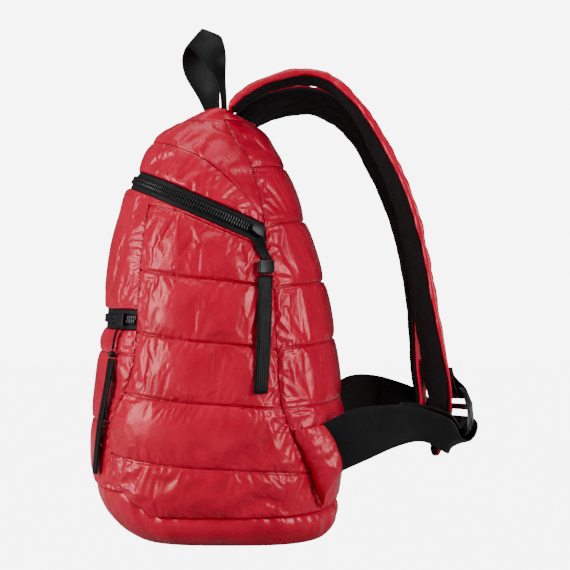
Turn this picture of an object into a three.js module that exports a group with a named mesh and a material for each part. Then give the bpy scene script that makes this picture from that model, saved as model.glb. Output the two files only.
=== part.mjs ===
// A quilted puffer backpack, standing on its base. It is sewn from padded panels round a hollow body, closed
// by a chunky zip over the front and sides and a pocket zip across the front. Two padded shoulder straps rise
// from the crown, and run through plastic buckles to wide webbing that is sewn into a wing at each lower
// corner. Millimetres, +Z up. The origin is the middle of the flat underside. The front faces -Y and the
// wearer's back is at +Y, so the wearer's right is +X.
import * as THREE from "three";

// Body, measured over the quilting seams.
const BODY_HEIGHT = 405;
const BODY_DEPTH = 226;
const BODY_WIDTH = 280;
const BASE_WALL = 5; // the base's floor
const PANEL_WALL = 3.2; // fabric, wadding and lining where a seam flattens them
const SEAM_GAP = 0.8; // between two panels at a level seam
const UPRIGHT_GAP = 2; // between two panels at an upright seam
const QUILT_STEPS = 3; // facets up each quilted channel

// How far the wadding stands out between two quilting lines.
const SIDE_PUFF = 8;
const BACK_PUFF = 6.5;
const FRONT_PUFF = 5;
const HOOD_PUFF = 5.5;
const BASE_PUFF = 2.5;
const CROWN_RISE = 13; // the hood's dome above its last ring

// Zips. The main one lies in a plane that falls towards the back.
const ZIP_TILT = 23.6; // degrees
const ZIP_DROP = 110; // its middle below BODY_HEIGHT, straight above the origin
const ZIP_BAND = 19; // tape that shows between the panels
const ZIP_TAPE = 1.4; // thickness
const ZIP_CHAIN_WIDTH = 8;
const ZIP_CHAIN_RISE = 2.4;
const POCKET_ZIP_HEIGHT = 204.5;
const PART_GAP = 0.3; // between pieces that touch

// Webbing, straps and handle.
const WEBBING_WIDTH = 45;
const WEBBING_THICK = 2;
const HANDLE_WIDTH = 38;
const HANDLE_THICK = 2;
const HANDLE_RISE = 84; // above its feet
const HANDLE_SPAN = 60; // between the middles of its feet
const HANDLE_CUP = 12; // how far the middle of its width stands over its edges at the top
const STRAP_WIDTH = 60;
const STRAP_SHELL = 6; // quilted outside layer
const STRAP_LINING = 3.5; // spacer mesh against the shoulder
const STRAP_SAG = 6; // how much lower or further back the left strap hangs at most
const BUCKLE_WIDTH = 57;
const BUCKLE_LENGTH = 44;
const BUCKLE_THICK = 4;

// Zip pulls.
const PULL_RIBBON = 12.5;
const PULL_THICK = 1.4;
const MAIN_FOLD = 11.5; // length of the folded block
const MAIN_RIBBON = 105; // length of the long ribbon
const CORD_PULL = 2.2;
const POCKET_CORD = 22; // length of the doubled cord
const POCKET_RIBBON = 107;

const RIGHT_ANGLE = Math.PI / 2;
const rad = THREE.MathUtils.degToRad;
const mix = THREE.MathUtils.lerp;
const clamp = THREE.MathUtils.clamp;

// Horizontal sections of the body. up: share of BODY_HEIGHT. front and back: reach from the origin as shares
// of BODY_DEPTH. wide: half width as a share of BODY_WIDTH. square: 2 is an ellipse, more is boxier.
const SECTIONS = [
  { up: 0, front: 0.43, back: 0.4, wide: 0.41, square: 3.2 },
  { up: 0.015, front: 0.472, back: 0.415, wide: 0.43, square: 3 },
  { up: 0.04, front: 0.513, back: 0.427, wide: 0.458, square: 2.9 },
  { up: 0.07, front: 0.556, back: 0.431, wide: 0.474, square: 2.8 },
  { up: 0.12, front: 0.600, back: 0.429, wide: 0.488, square: 2.7 },
  { up: 0.185, front: 0.603, back: 0.446, wide: 0.496, square: 2.6 },
  { up: 0.27, front: 0.599, back: 0.440, wide: 0.5, square: 2.6 },
  { up: 0.37, front: 0.580, back: 0.423, wide: 0.496, square: 2.5 },
  { up: 0.47, front: 0.567, back: 0.400, wide: 0.487, square: 2.4 },
  { up: 0.58, front: 0.551, back: 0.365, wide: 0.471, square: 2.4 },
  { up: 0.68, front: 0.527, back: 0.310, wide: 0.446, square: 2.3 },
  { up: 0.755, front: 0.491, back: 0.264, wide: 0.418, square: 2.3 },
  { up: 0.815, front: 0.469, back: 0.228, wide: 0.384, square: 2.2 },
  { up: 0.865, front: 0.416, back: 0.189, wide: 0.35, square: 2.2 },
  { up: 0.91, front: 0.369, back: 0.142, wide: 0.311, square: 2.2 },
  { up: 0.945, front: 0.320, back: 0.115, wide: 0.268, square: 2.2 },
  { up: 0.97, front: 0.265, back: 0.085, wide: 0.222, square: 2.2 },
];
const CROWN_UP = SECTIONS.at(-1).up;
const ZIP_HEIGHT = BODY_HEIGHT - ZIP_DROP;
const CROWN_TOP = CROWN_UP * BODY_HEIGHT + CROWN_RISE;

// Where the side panel's two long seams run. turn: degrees round the section from the front's middle.
const FRONT_SEAM = [
  { up: 0.12, turn: 53 },
  { up: 0.18, turn: 45 },
  { up: 0.235, turn: 42 },
  { up: 0.29, turn: 44.5 },
  { up: 0.33, turn: 49.5 },
  { up: 0.385, turn: 54.5 },
  { up: 0.47, turn: 56 },
  { up: 0.8, turn: 56 },
];
const BACK_SEAM = [
  { up: 0.069, turn: 144 },
  { up: 0.19, turn: 129 },
  { up: 0.265, turn: 121 },
  { up: 0.32, turn: 117 },
  { up: 0.43, turn: 118 },
  { up: 0.59, turn: 120.5 },
  { up: 0.73, turn: 124.5 },
  { up: 0.815, turn: 126 },
  { up: 0.885, turn: 122 },
  { up: 0.97, turn: 104 },
];

// Quilting lines. On a side panel each falls from the front seam to the back seam, as shares of the main
// zip's height. On the back panel each rises a little from the seam to the middle, as shares of BODY_HEIGHT.
const SIDE_LINES = [
  { front: 0.28, back: 0.221 },
  { front: 0.472, back: 0.423 },
  { front: 0.656, back: 0.604 },
  { front: 0.847, back: 0.792 },
];
const BACK_LINES = [
  { seam: 0.161, middle: 0.17 },
  { seam: 0.308, middle: 0.316 },
  { seam: 0.44, middle: 0.453 },
  { seam: 0.577, middle: 0.59 },
  { seam: 0.715, middle: 0.735 },
  { seam: 0.853, middle: 0.862 },
];
const POCKET_LINES = [0.537, 0.846]; // shares of POCKET_ZIP_HEIGHT
// Two upright seams split the front panel at UPRIGHTS, shares of its width, and lean out towards the main
// zip: turn is their angle from the front, in degrees, at heights as shares of BODY_HEIGHT.
const UPRIGHTS = [0.25, 0.75];
const UPRIGHT_LEAN = [
  { up: 0.53, turn: 27.5 },
  { up: 0.79, turn: 44 },
];
// The hood's line: from each back seam inwards, as a share of half its width, its share of the way from the
// main zip to the crown.
const HOOD_LINE = [
  { inwards: 0, up: 0.04 },
  { inwards: 0.12, up: 0.24 },
  { inwards: 0.2, up: 0.36 },
  { inwards: 0.33, up: 0.49 },
  { inwards: 0.55, up: 0.55 },
  { inwards: 1, up: 0.57 },
];

// The base panel's upper edge: high under the front, low round the sides and back.
const BASE_FRONT_UP = 0.12;
const BASE_SIDE_UP = 0.069;
const BASE_CORNER = 0.22; // share of the side panel over which its lower edge falls

// Reads one column of a table at a height, or at a place in another column, on a smooth curve through its
// rows.
function column(table, key, place, by = "up") {
  const last = table.length - 1;
  const at = clamp(place, table[0][by], table[last][by]);
  let i = 0;
  while (i < last - 1 && at > table[i + 1][by]) i += 1;
  const slope = (k) => {
    const before = table[Math.max(k - 1, 0)];
    const after = table[Math.min(k + 1, last)];
    return (after[key] - before[key]) / (after[by] - before[by]);
  };
  const span = table[i + 1][by] - table[i][by];
  const s = (at - table[i][by]) / span;
  const s2 = s * s;
  const s3 = s2 * s;
  return (2 * s3 - 3 * s2 + 1) * table[i][key] + (s3 - 2 * s2 + s) * span * slope(i) +
    (3 * s2 - 2 * s3) * table[i + 1][key] + (s3 - s2) * span * slope(i + 1);
}

// A point of the body over its quilting seams, at an angle round the section and a share of the height.
function bodyPoint(turn, up) {
  const front = column(SECTIONS, "front", up) * BODY_DEPTH;
  const back = column(SECTIONS, "back", up) * BODY_DEPTH;
  const power = 2 / column(SECTIONS, "square", up);
  const bend = (v) => Math.sign(v) * Math.abs(v) ** power;
  return new THREE.Vector3(
    column(SECTIONS, "wide", up) * BODY_WIDTH * bend(Math.sin(turn)),
    (back - front) / 2 - ((front + back) / 2) * bend(Math.cos(turn)),
    up * BODY_HEIGHT,
  );
}

function bodyNormal(turn, up) {
  const step = 0.004;
  const around = bodyPoint(turn + step, up).sub(bodyPoint(turn - step, up));
  const low = Math.max(up - step, 0);
  const high = Math.min(up + step, CROWN_UP);
  const rise = bodyPoint(turn, high).sub(bodyPoint(turn, low));
  return around.cross(rise).normalize();
}

const frontSeam = (up) => rad(column(FRONT_SEAM, "turn", up));
const backSeam = (up) => rad(column(BACK_SEAM, "turn", up));

// The height share of the zip's plane at an angle round the body, offset across the tape.
function zipUp(turn, across) {
  const middle = ZIP_HEIGHT + across / Math.cos(rad(ZIP_TILT));
  let up = ZIP_HEIGHT / BODY_HEIGHT;
  for (let i = 0; i < 12; i += 1) {
    up = (middle - Math.tan(rad(ZIP_TILT)) * bodyPoint(turn, up).y) / BODY_HEIGHT;
  }
  return up;
}

// The pillow between two quilting lines, 0 at either line and 1 between them.
const pillow = (share) => Math.sin(Math.PI * clamp(share, 0, 1)) ** 0.7;

// Flat at the middle of a panel and drawn down to its sewn edges.
const edgeFade = (across) => 1 - Math.abs(2 * across - 1) ** 7;

// Builds a closed wall from two grids of points of one size, the outer one first. Rows run upwards and
// columns anticlockwise seen from above.
function wall(outer, inner) {
  const rows = outer.length;
  const columns = outer[0].length;
  const positions = [...outer.flat(), ...inner.flat()].flatMap((p) => [p.x, p.y, p.z]);
  const index = [];
  const out = (r, c) => r * columns + c;
  const into = (r, c) => rows * columns + r * columns + c;
  const quad = (a, b, c, d) => index.push(a, b, c, a, c, d);
  for (let r = 0; r < rows - 1; r += 1) {
    for (let c = 0; c < columns - 1; c += 1) {
      quad(out(r, c), out(r, c + 1), out(r + 1, c + 1), out(r + 1, c));
      quad(into(r, c), into(r + 1, c), into(r + 1, c + 1), into(r, c + 1));
    }
    quad(out(r, 0), out(r + 1, 0), into(r + 1, 0), into(r, 0));
    quad(out(r + 1, columns - 1), out(r, columns - 1), into(r, columns - 1), into(r + 1, columns - 1));
  }
  for (let c = 0; c < columns - 1; c += 1) {
    quad(out(0, c + 1), out(0, c), into(0, c), into(0, c + 1));
    quad(out(rows - 1, c), out(rows - 1, c + 1), into(rows - 1, c + 1), into(rows - 1, c));
  }
  return closed(positions, index);
}

function closed(positions, index) {
  const geometry = new THREE.BufferGeometry();
  geometry.setAttribute("position", new THREE.Float32BufferAttribute(positions, 3));
  geometry.setIndex(index);
  geometry.computeVertexNormals();
  return geometry;
}

// Rows of one panel: for each channel between two lines, the height share across the panel and the pillow
// there.
function channelRows(lines, lastSteps = QUILT_STEPS) {
  const rows = [];
  for (let i = 0; i < lines.length - 1; i += 1) {
    const steps = i === lines.length - 2 ? lastSteps : QUILT_STEPS;
    for (let s = i ? 1 : 0; s <= steps; s += 1) {
      const share = s / steps;
      rows.push({ up: (a) => mix(lines[i](a), lines[i + 1](a), share), rise: pillow(share) });
    }
  }
  return rows;
}

// A quilted panel of the body. turnAt gives the angle at a share across and a height, trimmed by half a seam.
function quiltedPanel({ rows, columns, turnAt, puff, upright = () => 1 }) {
  const outer = [];
  const inner = [];
  rows.forEach((row, r) => {
    const trim = r === 0 ? 1 : r === rows.length - 1 ? -1 : 0;
    const outerRow = [];
    const innerRow = [];
    for (let c = 0; c <= columns; c += 1) {
      const across = c / columns;
      const up = row.up(across) + (trim * SEAM_GAP) / 2 / BODY_HEIGHT;
      const edge = c === 0 ? 1 : c === columns ? -1 : 0;
      const radius = bodyPoint(RIGHT_ANGLE, up).x;
      const turn = turnAt(across, up) + (edge * UPRIGHT_GAP) / 2 / radius;
      const base = bodyPoint(turn, up);
      const normal = bodyNormal(turn, up);
      const rise = puff * row.rise * edgeFade(across) * upright(across);
      outerRow.push(base.clone().addScaledVector(normal, rise));
      innerRow.push(base.clone().addScaledVector(normal, -PANEL_WALL));
    }
    outer.push(outerRow);
    inner.push(innerRow);
  });
  return { outer, inner };
}

const fabricRed = new THREE.MeshStandardMaterial({ color: 0xc3071e, roughness: 0.3, metalness: 0 });
const webbingBlack = new THREE.MeshStandardMaterial({ color: 0x141517, roughness: 0.75, metalness: 0 });
const meshBlack = new THREE.MeshStandardMaterial({ color: 0x0d0d0f, roughness: 0.9, metalness: 0 });
const plasticBlack = new THREE.MeshStandardMaterial({ color: 0x1c1c1e, roughness: 0.4, metalness: 0 });
const metalDark = new THREE.MeshStandardMaterial({ color: 0x2a2b2d, roughness: 0.35, metalness: 0.8 });

const backpack = new THREE.Group();

function add(name, geometry, material) {
  const mesh = new THREE.Mesh(geometry, material);
  mesh.name = name;
  backpack.add(mesh);
  return mesh;
}

// The same piece for both sides, the left one mirrored.
function addPair(name, geometry, material) {
  add(`${name}_right`, geometry, material);
  add(`${name}_left`, geometry, material).scale.x = -1;
}

// Side panels, between the front seam, the back seam, the base and the zip.
const sideTurn = (across, up) => mix(frontSeam(up), backSeam(up), across);
const sideFoot = (across) =>
  mix(BASE_FRONT_UP, BASE_SIDE_UP, Math.sin(RIGHT_ANGLE * clamp(across / BASE_CORNER, 0, 1)));
const zipEdge = (turnAt, side) => (across) => {
  let up = ZIP_HEIGHT / BODY_HEIGHT;
  for (let i = 0; i < 8; i += 1) up = zipUp(turnAt(across, up), (side * ZIP_BAND) / 2);
  return up;
};
const SIDE_COLUMNS = 12;
const sideLines = [
  sideFoot,
  ...SIDE_LINES.map((line) => (across) => (mix(line.front, line.back, across) * ZIP_HEIGHT) / BODY_HEIGHT),
  zipEdge(sideTurn, -1),
];
const side = quiltedPanel({
  rows: channelRows(sideLines),
  columns: SIDE_COLUMNS,
  turnAt: sideTurn,
  puff: SIDE_PUFF,
});
addPair("side_panel", wall(side.outer, side.inner), fabricRed);

// Front panel above the pocket, in three upright strips.
const FRONT_CELLS = 12;
const frontTurn = (across, up) => mix(-frontSeam(up), frontSeam(up), across);
const frontPanelTurn = (across, up) => {
  const lean = rad(column(UPRIGHT_LEAN, "turn", up));
  const away = Math.abs(2 * across - 1);
  const split = UPRIGHTS[1] - UPRIGHTS[0];
  const beyond = mix(lean, frontSeam(up), (away - split) / (1 - split));
  return Math.sign(2 * across - 1) * (away < split ? (lean * away) / split : beyond);
};
const uprightSeams = (across) => {
  const nearest = Math.min(...UPRIGHTS.map((at) => Math.abs(across - at)));
  return clamp(nearest / 0.1, 0, 1) ** 0.6;
};
const pocketZip = (side_) => () => (POCKET_ZIP_HEIGHT + (side_ * ZIP_BAND) / 2) / BODY_HEIGHT;
const upperFront = quiltedPanel({
  rows: channelRows([pocketZip(1), zipEdge(frontPanelTurn, -1)], 2 * QUILT_STEPS),
  columns: FRONT_CELLS,
  turnAt: frontPanelTurn,
  puff: FRONT_PUFF,
  upright: uprightSeams,
});
add("front_panel", wall(upperFront.outer, upperFront.inner), fabricRed);

// Pocket panel below the pocket zip.
const pocket = quiltedPanel({
  rows: channelRows([
    () => BASE_FRONT_UP,
    ...POCKET_LINES.map((line) => () => (line * POCKET_ZIP_HEIGHT) / BODY_HEIGHT),
    pocketZip(-1),
  ]),
  columns: FRONT_CELLS,
  turnAt: frontTurn,
  puff: FRONT_PUFF,
});
add("pocket_panel", wall(pocket.outer, pocket.inner), fabricRed);

// Back panel, from seam to seam round the back.
const BACK_CELLS = 14;
const backTurn = (across, up) => mix(backSeam(up), 2 * Math.PI - backSeam(up), across);
const backLine = (line) => (across) => mix(line.seam, line.middle, Math.sin(Math.PI * across));
const back = quiltedPanel({
  rows: channelRows([() => BASE_SIDE_UP, ...BACK_LINES.map(backLine), () => CROWN_UP]),
  columns: BACK_CELLS,
  turnAt: backTurn,
  puff: BACK_PUFF,
});
add("back_panel", wall(back.outer, back.inner), fabricRed);

// Hood above the main zip. It rises to the crown's ring and then closes over it to the back seam.
const HOOD_CELLS = 24;
const hoodTurn = (across, up) => mix(-backSeam(up), backSeam(up), across);
const hoodLine = (across) => {
  const share = column(HOOD_LINE, "up", 1 - Math.abs(2 * across - 1), "inwards");
  return mix(zipEdge(hoodTurn, 1)(across), CROWN_UP, share);
};
const hood = quiltedPanel({
  rows: channelRows([zipEdge(hoodTurn, 1), hoodLine, () => CROWN_UP], 2 * QUILT_STEPS),
  columns: HOOD_CELLS,
  turnAt: hoodTurn,
  puff: HOOD_PUFF,
});
const CROWN_STEPS = 3;
function crownRows(grid, sink) {
  const rim = grid.at(-1);
  const seam = backSeam(CROWN_UP);
  const rows = [];
  for (let s = 1; s <= CROWN_STEPS; s += 1) {
    const share = s / CROWN_STEPS;
    rows.push(rim.map((point, c) => {
      const turn = -seam - (2 * Math.PI - 2 * seam) * (c / HOOD_CELLS);
      const far = bodyPoint(turn, CROWN_UP).addScaledVector(bodyNormal(turn, CROWN_UP), -sink);
      const rise = CROWN_RISE * Math.sin(Math.PI * Math.min(share, 0.98)) * edgeFade(c / HOOD_CELLS);
      return point.clone().lerp(far, share).add(new THREE.Vector3(0, 0, rise + SEAM_GAP * share));
    }));
  }
  return rows;
}
const hoodOuter = [...hood.outer, ...crownRows(hood.outer, 0)];
const hoodInner = [...hood.inner, ...crownRows(hood.inner, PANEL_WALL)];
add("hood_panel", wall(hoodOuter, hoodInner), fabricRed);

// Base panel: a bowl whose rim follows the lower edges of the panels round it.
const baseEdges = [];
for (let c = 0; c < FRONT_CELLS; c += 1) {
  baseEdges.push({ turn: frontTurn(c / FRONT_CELLS, BASE_FRONT_UP), up: BASE_FRONT_UP });
}
for (let c = 0; c < SIDE_COLUMNS; c += 1) {
  const up = sideFoot(c / SIDE_COLUMNS);
  baseEdges.push({ turn: sideTurn(c / SIDE_COLUMNS, up), up });
}
for (let c = 0; c < BACK_CELLS; c += 1) {
  baseEdges.push({ turn: backTurn(c / BACK_CELLS, BASE_SIDE_UP), up: BASE_SIDE_UP });
}
for (let c = SIDE_COLUMNS; c > 0; c -= 1) {
  const up = sideFoot(c / SIDE_COLUMNS);
  baseEdges.push({ turn: 2 * Math.PI - sideTurn(c / SIDE_COLUMNS, up), up });
}
const BASE_RINGS = [0, 0.25, 0.6, 1]; // shares of the way up to the rim
const BASE_INNER_FLOOR = 0.4; // half way in from the foot to the middle
function baseRings(sunk) {
  const lift = sunk ? BASE_WALL : 0;
  const rings = [baseEdges.map(({ turn }) => {
    const foot = bodyPoint(turn, 0);
    return new THREE.Vector3(foot.x * BASE_INNER_FLOOR, foot.y * BASE_INNER_FLOOR, lift);
  })];
  BASE_RINGS.forEach((share) => {
    rings.push(baseEdges.map(({ turn, up }) => {
      const at = share * (up - SEAM_GAP / 2 / BODY_HEIGHT);
      const point = bodyPoint(turn, at);
      const normal = bodyNormal(turn, at);
      const rise = sunk ? -mix(BASE_WALL, PANEL_WALL, share) : BASE_PUFF * Math.sin(Math.PI * share);
      point.addScaledVector(normal, rise);
      if (share === 0) point.z = lift;
      return point;
    }));
  });
  return rings;
}
function bowl(outer, inner) {
  const rings = outer.length;
  const around = outer[0].length;
  const points = [...outer.flat(), ...inner.flat()];
  const base = points.length;
  const middle = new THREE.Vector3(0, 0, outer[0][0].z);
  const inside = new THREE.Vector3(0, 0, inner[0][0].z);
  const positions = [...points, middle, inside].flatMap((p) => [p.x, p.y, p.z]);
  const index = [];
  const out = (r, c) => r * around + (c % around);
  const into = (r, c) => rings * around + out(r, c);
  for (let c = 0; c < around; c += 1) {
    index.push(base, out(0, c + 1), out(0, c));
    index.push(base + 1, into(0, c), into(0, c + 1));
    for (let r = 0; r < rings - 1; r += 1) {
      index.push(out(r, c), out(r, c + 1), out(r + 1, c + 1));
      index.push(out(r, c), out(r + 1, c + 1), out(r + 1, c));
      index.push(into(r, c), into(r + 1, c + 1), into(r, c + 1));
      index.push(into(r, c), into(r + 1, c), into(r + 1, c + 1));
    }
    const top = rings - 1;
    index.push(out(top, c), out(top, c + 1), into(top, c + 1));
    index.push(out(top, c), into(top, c + 1), into(top, c));
  }
  return closed(positions, index);
}
add("base_panel", bowl(baseRings(false), baseRings(true)), fabricRed);

// A thin sheet of even thickness on a grid of points. Its outer face looks along columns cross rows.
function sheet(grid, thickness) {
  const rows = grid.length;
  const columns = grid[0].length;
  const shifted = (side_) => grid.map((row, r) => row.map((point, c) => {
    const across = row[Math.min(c + 1, columns - 1)].clone().sub(row[Math.max(c - 1, 0)]);
    const along = grid[Math.min(r + 1, rows - 1)][c].clone().sub(grid[Math.max(r - 1, 0)][c]);
    return point.clone().addScaledVector(across.cross(along).normalize(), (side_ * thickness) / 2);
  }));
  return wall(shifted(1), shifted(-1));
}

// Draws a smooth curve through each column of a grid and reads it at even steps.
function smoothGrid(grid, rows) {
  const lines = grid[0].map((_, c) => grid.map((row) => row[c]));
  const curves = lines.map((line) => new THREE.CatmullRomCurve3(line, false, "centripetal"));
  const points = curves.map((curve) => curve.getPoints(rows));
  return points[0].map((_, r) => points.map((column_) => column_[r]));
}

// Zip bands on the body, between two offsets across the tape and two depths from the seam surface.
const ZIP_CELLS = 30;
const TAPE_SINK = 1; // the tape's face below the seams
function mainBand(low, high, face, thickness, cells = ZIP_CELLS) {
  const grid = (offset) => [low, high].map((across) => {
    const row = [];
    for (let c = 0; c <= cells; c += 1) {
      let up = ZIP_HEIGHT / BODY_HEIGHT;
      let turn = 0;
      const share = c / cells;
      for (let i = 0; i < 8; i += 1) {
        turn = mix(-backSeam(up), backSeam(up), share);
        up = zipUp(turn, across);
      }
      const edge = c === 0 ? 1 : c === cells ? -1 : 0;
      turn += (edge * SEAM_GAP) / 2 / bodyPoint(RIGHT_ANGLE, up).x;
      row.push(bodyPoint(turn, up).addScaledVector(bodyNormal(turn, up), offset));
    }
    return row;
  });
  return wall(grid(face), grid(face - thickness));
}
function pocketBand(low, high, face, thickness) {
  const grid = (offset) => [low, high].map((across) => {
    const row = [];
    const up = (POCKET_ZIP_HEIGHT + across) / BODY_HEIGHT;
    for (let c = 0; c <= FRONT_CELLS; c += 1) {
      const edge = c === 0 ? 1 : c === FRONT_CELLS ? -1 : 0;
      const turn = frontTurn(c / FRONT_CELLS, up) + (edge * SEAM_GAP) / 2 / bodyPoint(RIGHT_ANGLE, up).x;
      row.push(bodyPoint(turn, up).addScaledVector(bodyNormal(turn, up), offset));
    }
    return row;
  });
  return wall(grid(face), grid(face - thickness));
}
const tapeEdge = (ZIP_BAND - SEAM_GAP) / 2;
const chainEdge = ZIP_CHAIN_WIDTH / 2;
const chainThickness = ZIP_CHAIN_RISE + ZIP_TAPE;
const chainFace = ZIP_CHAIN_RISE - TAPE_SINK;
for (const [name, band] of [["main_zip", mainBand], ["pocket_zip", pocketBand]]) {
  add(`${name}_tape_upper`, band(chainEdge + PART_GAP, tapeEdge, -TAPE_SINK, ZIP_TAPE), webbingBlack);
  add(`${name}_tape_lower`, band(-tapeEdge, -chainEdge - PART_GAP, -TAPE_SINK, ZIP_TAPE), webbingBlack);
  add(`${name}_chain`, band(-chainEdge, chainEdge, chainFace, chainThickness), plasticBlack);
}

// Grab handle: webbing sewn flat into the crown at both ends, turning to lie across its top. right and back
// are the middle of its width, as shares of HANDLE_SPAN, and up a share of HANDLE_RISE. across is from its
// rear edge to its front edge, as shares of HANDLE_WIDTH.
const HANDLE_SEAT = 1.85; // its feet below the crown's top
const HANDLE_ROWS = [
  { right: 0.483, back: -0.188, up: 0.025, across: [0.95, -0.07, -0.05] },
  { right: 0.492, back: -0.2, up: 0.19, across: [0.87, -0.08, -0.05] },
  { right: 0.542, back: -0.263, up: 0.411, across: [0.61, -0.25, -0.08] },
  { right: 0.542, back: -0.354, up: 0.625, across: [0.24, -0.62, -0.13] },
  { right: 0.283, back: -0.5, up: 0.839, across: [0.05, -0.84, -0.24] },
  { right: -0.083, back: -0.608, up: 0.911, across: [-0.05, -0.76, -0.29] },
  { right: -0.467, back: -0.658, up: 0.762, across: [-0.11, -0.97, -0.11] },
  { right: -0.558, back: -0.625, up: 0.548, across: [-0.39, -0.92, 0.05] },
  { right: -0.533, back: -0.508, up: 0.304, across: [-0.74, -0.61, 0.08] },
  { right: -0.5, back: -0.433, up: 0.083, across: [-0.89, -0.37, 0.05] },
];
const handleGrid = HANDLE_ROWS.map(({ right, back: rear, up, across }, i) => {
  const height = CROWN_TOP - HANDLE_SEAT + up * HANDLE_RISE;
  const middle = new THREE.Vector3(right * HANDLE_SPAN, rear * HANDLE_SPAN, height);
  const reach = new THREE.Vector3(...across).multiplyScalar(HANDLE_WIDTH / 2);
  const cup = HANDLE_CUP * Math.sin((Math.PI * i) / (HANDLE_ROWS.length - 1)) ** 2;
  const ridge = middle.clone().add(new THREE.Vector3(0, 0, cup));
  return [middle.clone().sub(reach), ridge, middle.clone().add(reach)];
});
const HANDLE_STEPS = 22;
add("grab_handle", sheet(smoothGrid(handleGrid, HANDLE_STEPS), HANDLE_THICK), webbingBlack);

// Right shoulder strap: its middle surface from the crown to the tip. right, back and up place it, as shares
// of BODY_WIDTH, BODY_DEPTH and CROWN_TOP. roll leans its outer edge down, in degrees. inside and outside
// reach towards and away from the middle of the back, as shares of half its width. The left strap is its
// mirror image, but sags by leftBack and leftUp, as shares of STRAP_SAG, and leans by leftRoll.
const STRAP_ROWS = [
  { right: 0.171, back: -0.0133, up: 0.992, roll: 2, inside: 1, outside: 1,
    leftBack: 0.33, leftUp: 0, leftRoll: 8 },
  { right: 0.175, back: 0.031, up: 1.0176, roll: 3, inside: 1, outside: 1,
    leftBack: 0.33, leftUp: -0.33, leftRoll: 12 },
  { right: 0.179, back: 0.115, up: 1.046, roll: 3, inside: 1, outside: 1,
    leftBack: 0, leftUp: -0.67, leftRoll: 15 },
  { right: 0.182, back: 0.2124, up: 1.062, roll: 2, inside: 1, outside: 1,
    leftBack: 0, leftUp: -0.67, leftRoll: 15 },
  { right: 0.186, back: 0.2965, up: 1.0681, roll: 2, inside: 1, outside: 1,
    leftBack: 0, leftUp: -0.75, leftRoll: 15 },
  { right: 0.193, back: 0.3761, up: 1.0595, roll: 2, inside: 1, outside: 1,
    leftBack: 0.17, leftUp: -0.67, leftRoll: 14 },
  { right: 0.204, back: 0.4469, up: 1.0275, roll: 1, inside: 1, outside: 1,
    leftBack: 0.7, leftUp: -0.17, leftRoll: 13 },
  { right: 0.218, back: 0.5288, up: 0.9745, roll: -1, inside: 1, outside: 1,
    leftBack: 1, leftUp: 0, leftRoll: 12 },
  { right: 0.232, back: 0.5819, up: 0.9166, roll: -4, inside: 1, outside: 1,
    leftBack: 1, leftUp: 0, leftRoll: 12 },
  { right: 0.25, back: 0.6593, up: 0.8328, roll: -6, inside: 1, outside: 1,
    leftBack: 1, leftUp: 0, leftRoll: 12 },
  { right: 0.268, back: 0.7301, up: 0.7121, roll: -9, inside: 1, outside: 1,
    leftBack: 1.1, leftUp: 0, leftRoll: 12 },
  { right: 0.282, back: 0.7721, up: 0.5667, roll: -11, inside: 1, outside: 1,
    leftBack: 1.1, leftUp: 0, leftRoll: 8 },
  { right: 0.293, back: 0.8097, up: 0.4484, roll: -12, inside: 1, outside: 1,
    leftBack: 0.5, leftUp: 0, leftRoll: 3 },
  { right: 0.3, back: 0.8363, up: 0.3647, roll: -13, inside: 0.97, outside: 0.97,
    leftBack: 0, leftUp: 0, leftRoll: 0 },
  { right: 0.304, back: 0.8518, up: 0.3154, roll: -13, inside: 0.93, outside: 0.83,
    leftBack: 0, leftUp: 0, leftRoll: 0 },
  { right: 0.307, back: 0.8584, up: 0.276, roll: -14, inside: 0.9, outside: 0.27,
    leftBack: 0, leftUp: 0, leftRoll: 0 },
  { right: 0.307, back: 0.8606, up: 0.239, roll: -15, inside: 0.87, outside: -0.3,
    leftBack: 0, leftUp: 0, leftRoll: 0 },
  { right: 0.307, back: 0.8584, up: 0.207, roll: -15, inside: 0.8, outside: -0.33,
    leftBack: 0, leftUp: 0, leftRoll: 0 },
  { right: 0.307, back: 0.854, up: 0.1848, roll: -15, inside: 0.67, outside: -0.4,
    leftBack: 0, leftUp: 0, leftRoll: 0 },
];
const strapCurves = [0, 1].map((left) => new THREE.CatmullRomCurve3(
  STRAP_ROWS.map((row) => new THREE.Vector3(
    row.right * BODY_WIDTH,
    row.back * BODY_DEPTH + left * row.leftBack * STRAP_SAG,
    row.up * CROWN_TOP + left * row.leftUp * STRAP_SAG,
  )), false, "centripetal"));

// The strap's frame at a row number, which need not be whole. left is 1 for the left strap, before mirroring.
function strapFrame(at, left = 0) {
  const last = STRAP_ROWS.length - 1;
  const point = strapCurves[left].getPoint(at / last);
  const along = strapCurves[left].getTangent(at / last);
  const i = Math.min(Math.floor(at), last - 1);
  const share = at - i;
  const read = (key) => mix(STRAP_ROWS[i][key], STRAP_ROWS[i + 1][key], share);
  const level = new THREE.Vector3(1, 0, 0).addScaledVector(along, -along.x).normalize();
  const out = level.clone().cross(along).normalize();
  const roll = rad(read("roll") + left * read("leftRoll"));
  const width = level.clone().multiplyScalar(Math.cos(roll)).addScaledVector(out, -Math.sin(roll));
  const face = out.multiplyScalar(Math.cos(roll)).addScaledVector(level, Math.sin(roll));
  const reach = (key) => (read(key) * STRAP_WIDTH) / 2;
  return { point, width, face, along, inside: reach("inside"), outside: reach("outside") };
}
const STRAP_STEPS = 26;
const STRAP_CELLS = 4;
const STRAP_EDGE = 0.25; // how much thinner its sewn edges are, as a share
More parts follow.
